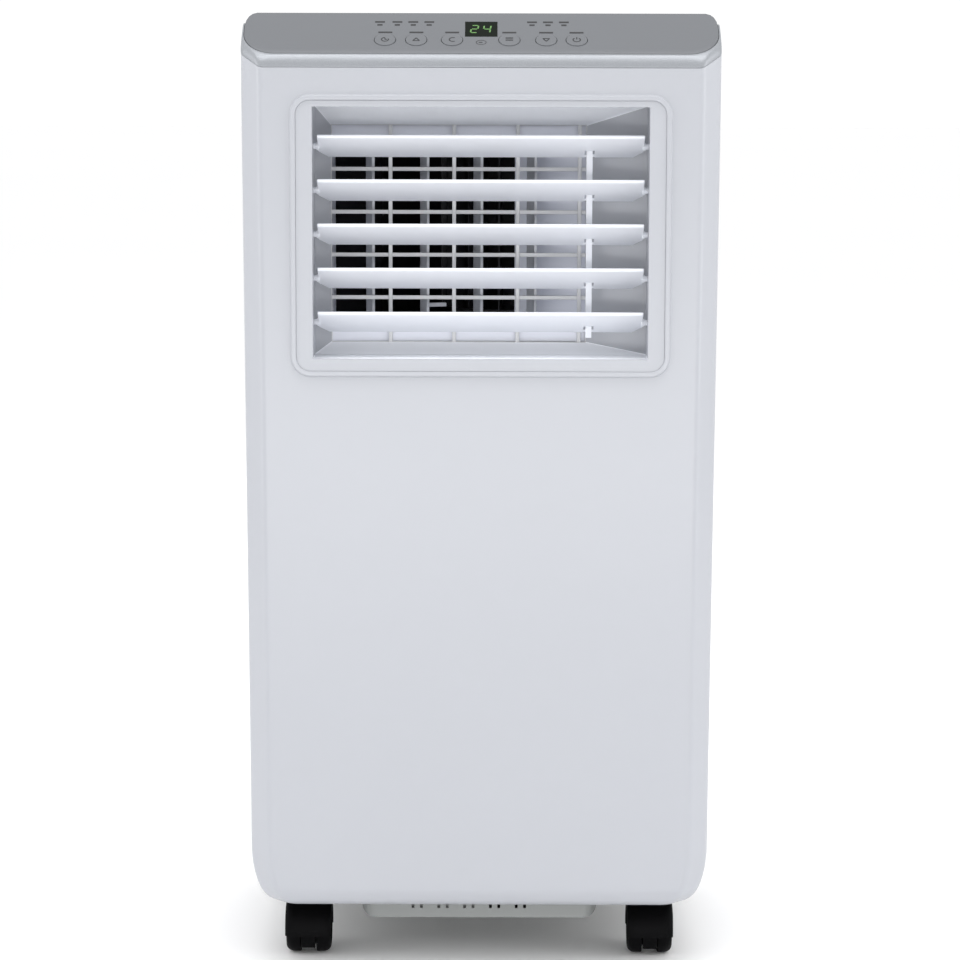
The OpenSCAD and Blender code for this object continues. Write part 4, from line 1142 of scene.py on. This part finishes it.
# Soft lights as (name, place, size, watts); all look at the middle of the housing.
LIGHTS = [
    ("front_low", (0.0, -2.2, 0.13), (2.2, 0.24), 9),
    ("overhead", (0.0, -0.45, 2.2), (2.0, 0.5), 15),
    ("left", (-1.9, -0.6, 0.9), (0.7, 1.8), 8),
    ("right", (1.9, -0.6, 0.9), (0.7, 1.8), 10),
    ("behind", (0.0, 2.4, 1.4), (2.0, 1.2), 8),
]
LIGHT_TARGET = Vector((0, 0, 0.36))
CAMERA_TURN = radians(0.2)
CAMERA_ROLL = radians(0.142)
FLOOR_HALF = 20.0


class AC_OT_stage(bpy.types.Operator):
    """Set up the floor, the soft lights and the camera"""
    bl_idname = "air_conditioner.stage"
    bl_label = "Stage"

    def execute(self, context):
        stage = context.scene.ac_stage
        add_floor()
        add_world(context.scene, stage.daylight)
        for light in LIGHTS:
            add_light(*light)
        data = bpy.data.cameras.new("camera")
        data.lens = stage.lens
        data.sensor_width = 36.0
        camera = linked("camera", data)
        aim = (Matrix.Rotation(CAMERA_TURN, 4, "Z")
               @ Matrix.Rotation(pi / 2 - stage.pitch, 4, "X")
               @ Matrix.Rotation(CAMERA_ROLL, 4, "Z"))
        spot = (stage.camera_side, -stage.camera_distance, stage.camera_height)
        camera.matrix_world = Matrix.Translation(spot) @ aim
        context.scene.camera = camera
        context.scene.view_settings.view_transform = "Standard"
        return {"FINISHED"}


def add_floor():
    """A large pale floor."""
    half = FLOOR_HALF
    mesh = bpy.data.meshes.new("floor")
    mesh.from_pydata([(-half, -half, 0), (half, -half, 0), (half, half, 0), (-half, half, 0)],
                     [], [(0, 1, 2, 3)])
    floor = linked("floor", mesh)
    finish = Finish("Pale floor")
    slow = finish.noise(0.6)
    base = finish.blend(slow, (0.93, 0.93, 0.935), (0.95, 0.95, 0.95))
    mesh.materials.append(finish.surface(base, 0.6 + 0.05 * slow))


def add_world(scene, strength):
    """An even white surround."""
    world = bpy.data.worlds.new("surround")
    world.use_nodes = True
    background = world.node_tree.nodes["Background"]
    background.inputs["Color"].default_value = (1.0, 1.0, 1.0, 1.0)
    background.inputs["Strength"].default_value = strength
    scene.world = world


def add_light(name, place, size, power):
    """A rectangular soft light that looks at the housing."""
    data = bpy.data.lights.new(name, "AREA")
    data.shape = "RECTANGLE"
    data.size, data.size_y = size
    data.energy = power
    light = linked(name, data)
    light.location = place
    light.rotation_euler = (LIGHT_TARGET - Vector(place)).to_track_quat("-Z", "Y").to_euler()


# ---------- add-on ----------

STEPS = [AC_OT_finishes, AC_OT_front_shell, AC_OT_top_cover, AC_OT_controls, AC_OT_buttons,
         AC_OT_blades, AC_OT_screws, AC_OT_casters, AC_OT_eased_parts, AC_OT_stage]


class AC_PT_panel(bpy.types.Panel):
    """Lists the pieces of the air conditioner and their settings"""
    bl_idname = "AC_PT_panel"
    bl_label = "Air Conditioner"
    bl_space_type = "VIEW_3D"
    bl_region_type = "UI"
    bl_category = "Air Conditioner"

    def draw(self, context):
        for step in STEPS:
            self.layout.operator(step.bl_idname)
        for name, group in SETTINGS.items():
            box = self.layout.box()
            box.label(text=group.__doc__)
            for prop in group.__annotations__:
                box.prop(getattr(context.scene, name), prop)


def register():
    """Registers the settings, the operators and the panel."""
    for group in SETTINGS.values():
        bpy.utils.register_class(group)
    for name, group in SETTINGS.items():
        setattr(bpy.types.Scene, name, PointerProperty(type=group))
    for item in [*STEPS, AC_PT_panel]:
        bpy.utils.register_class(item)


def unregister():
    """Removes what register added."""
    for item in [AC_PT_panel, *reversed(STEPS)]:
        bpy.utils.unregister_class(item)
    for name, group in SETTINGS.items():
        delattr(bpy.types.Scene, name)
        bpy.utils.unregister_class(group)


def main():
    """Registers the add-on and builds every piece in order."""
    register()
    for step in STEPS:
        family, action = step.bl_idname.split(".")
        getattr(getattr(bpy.ops, family), action)()


if __name__ == "__main__":
    main()
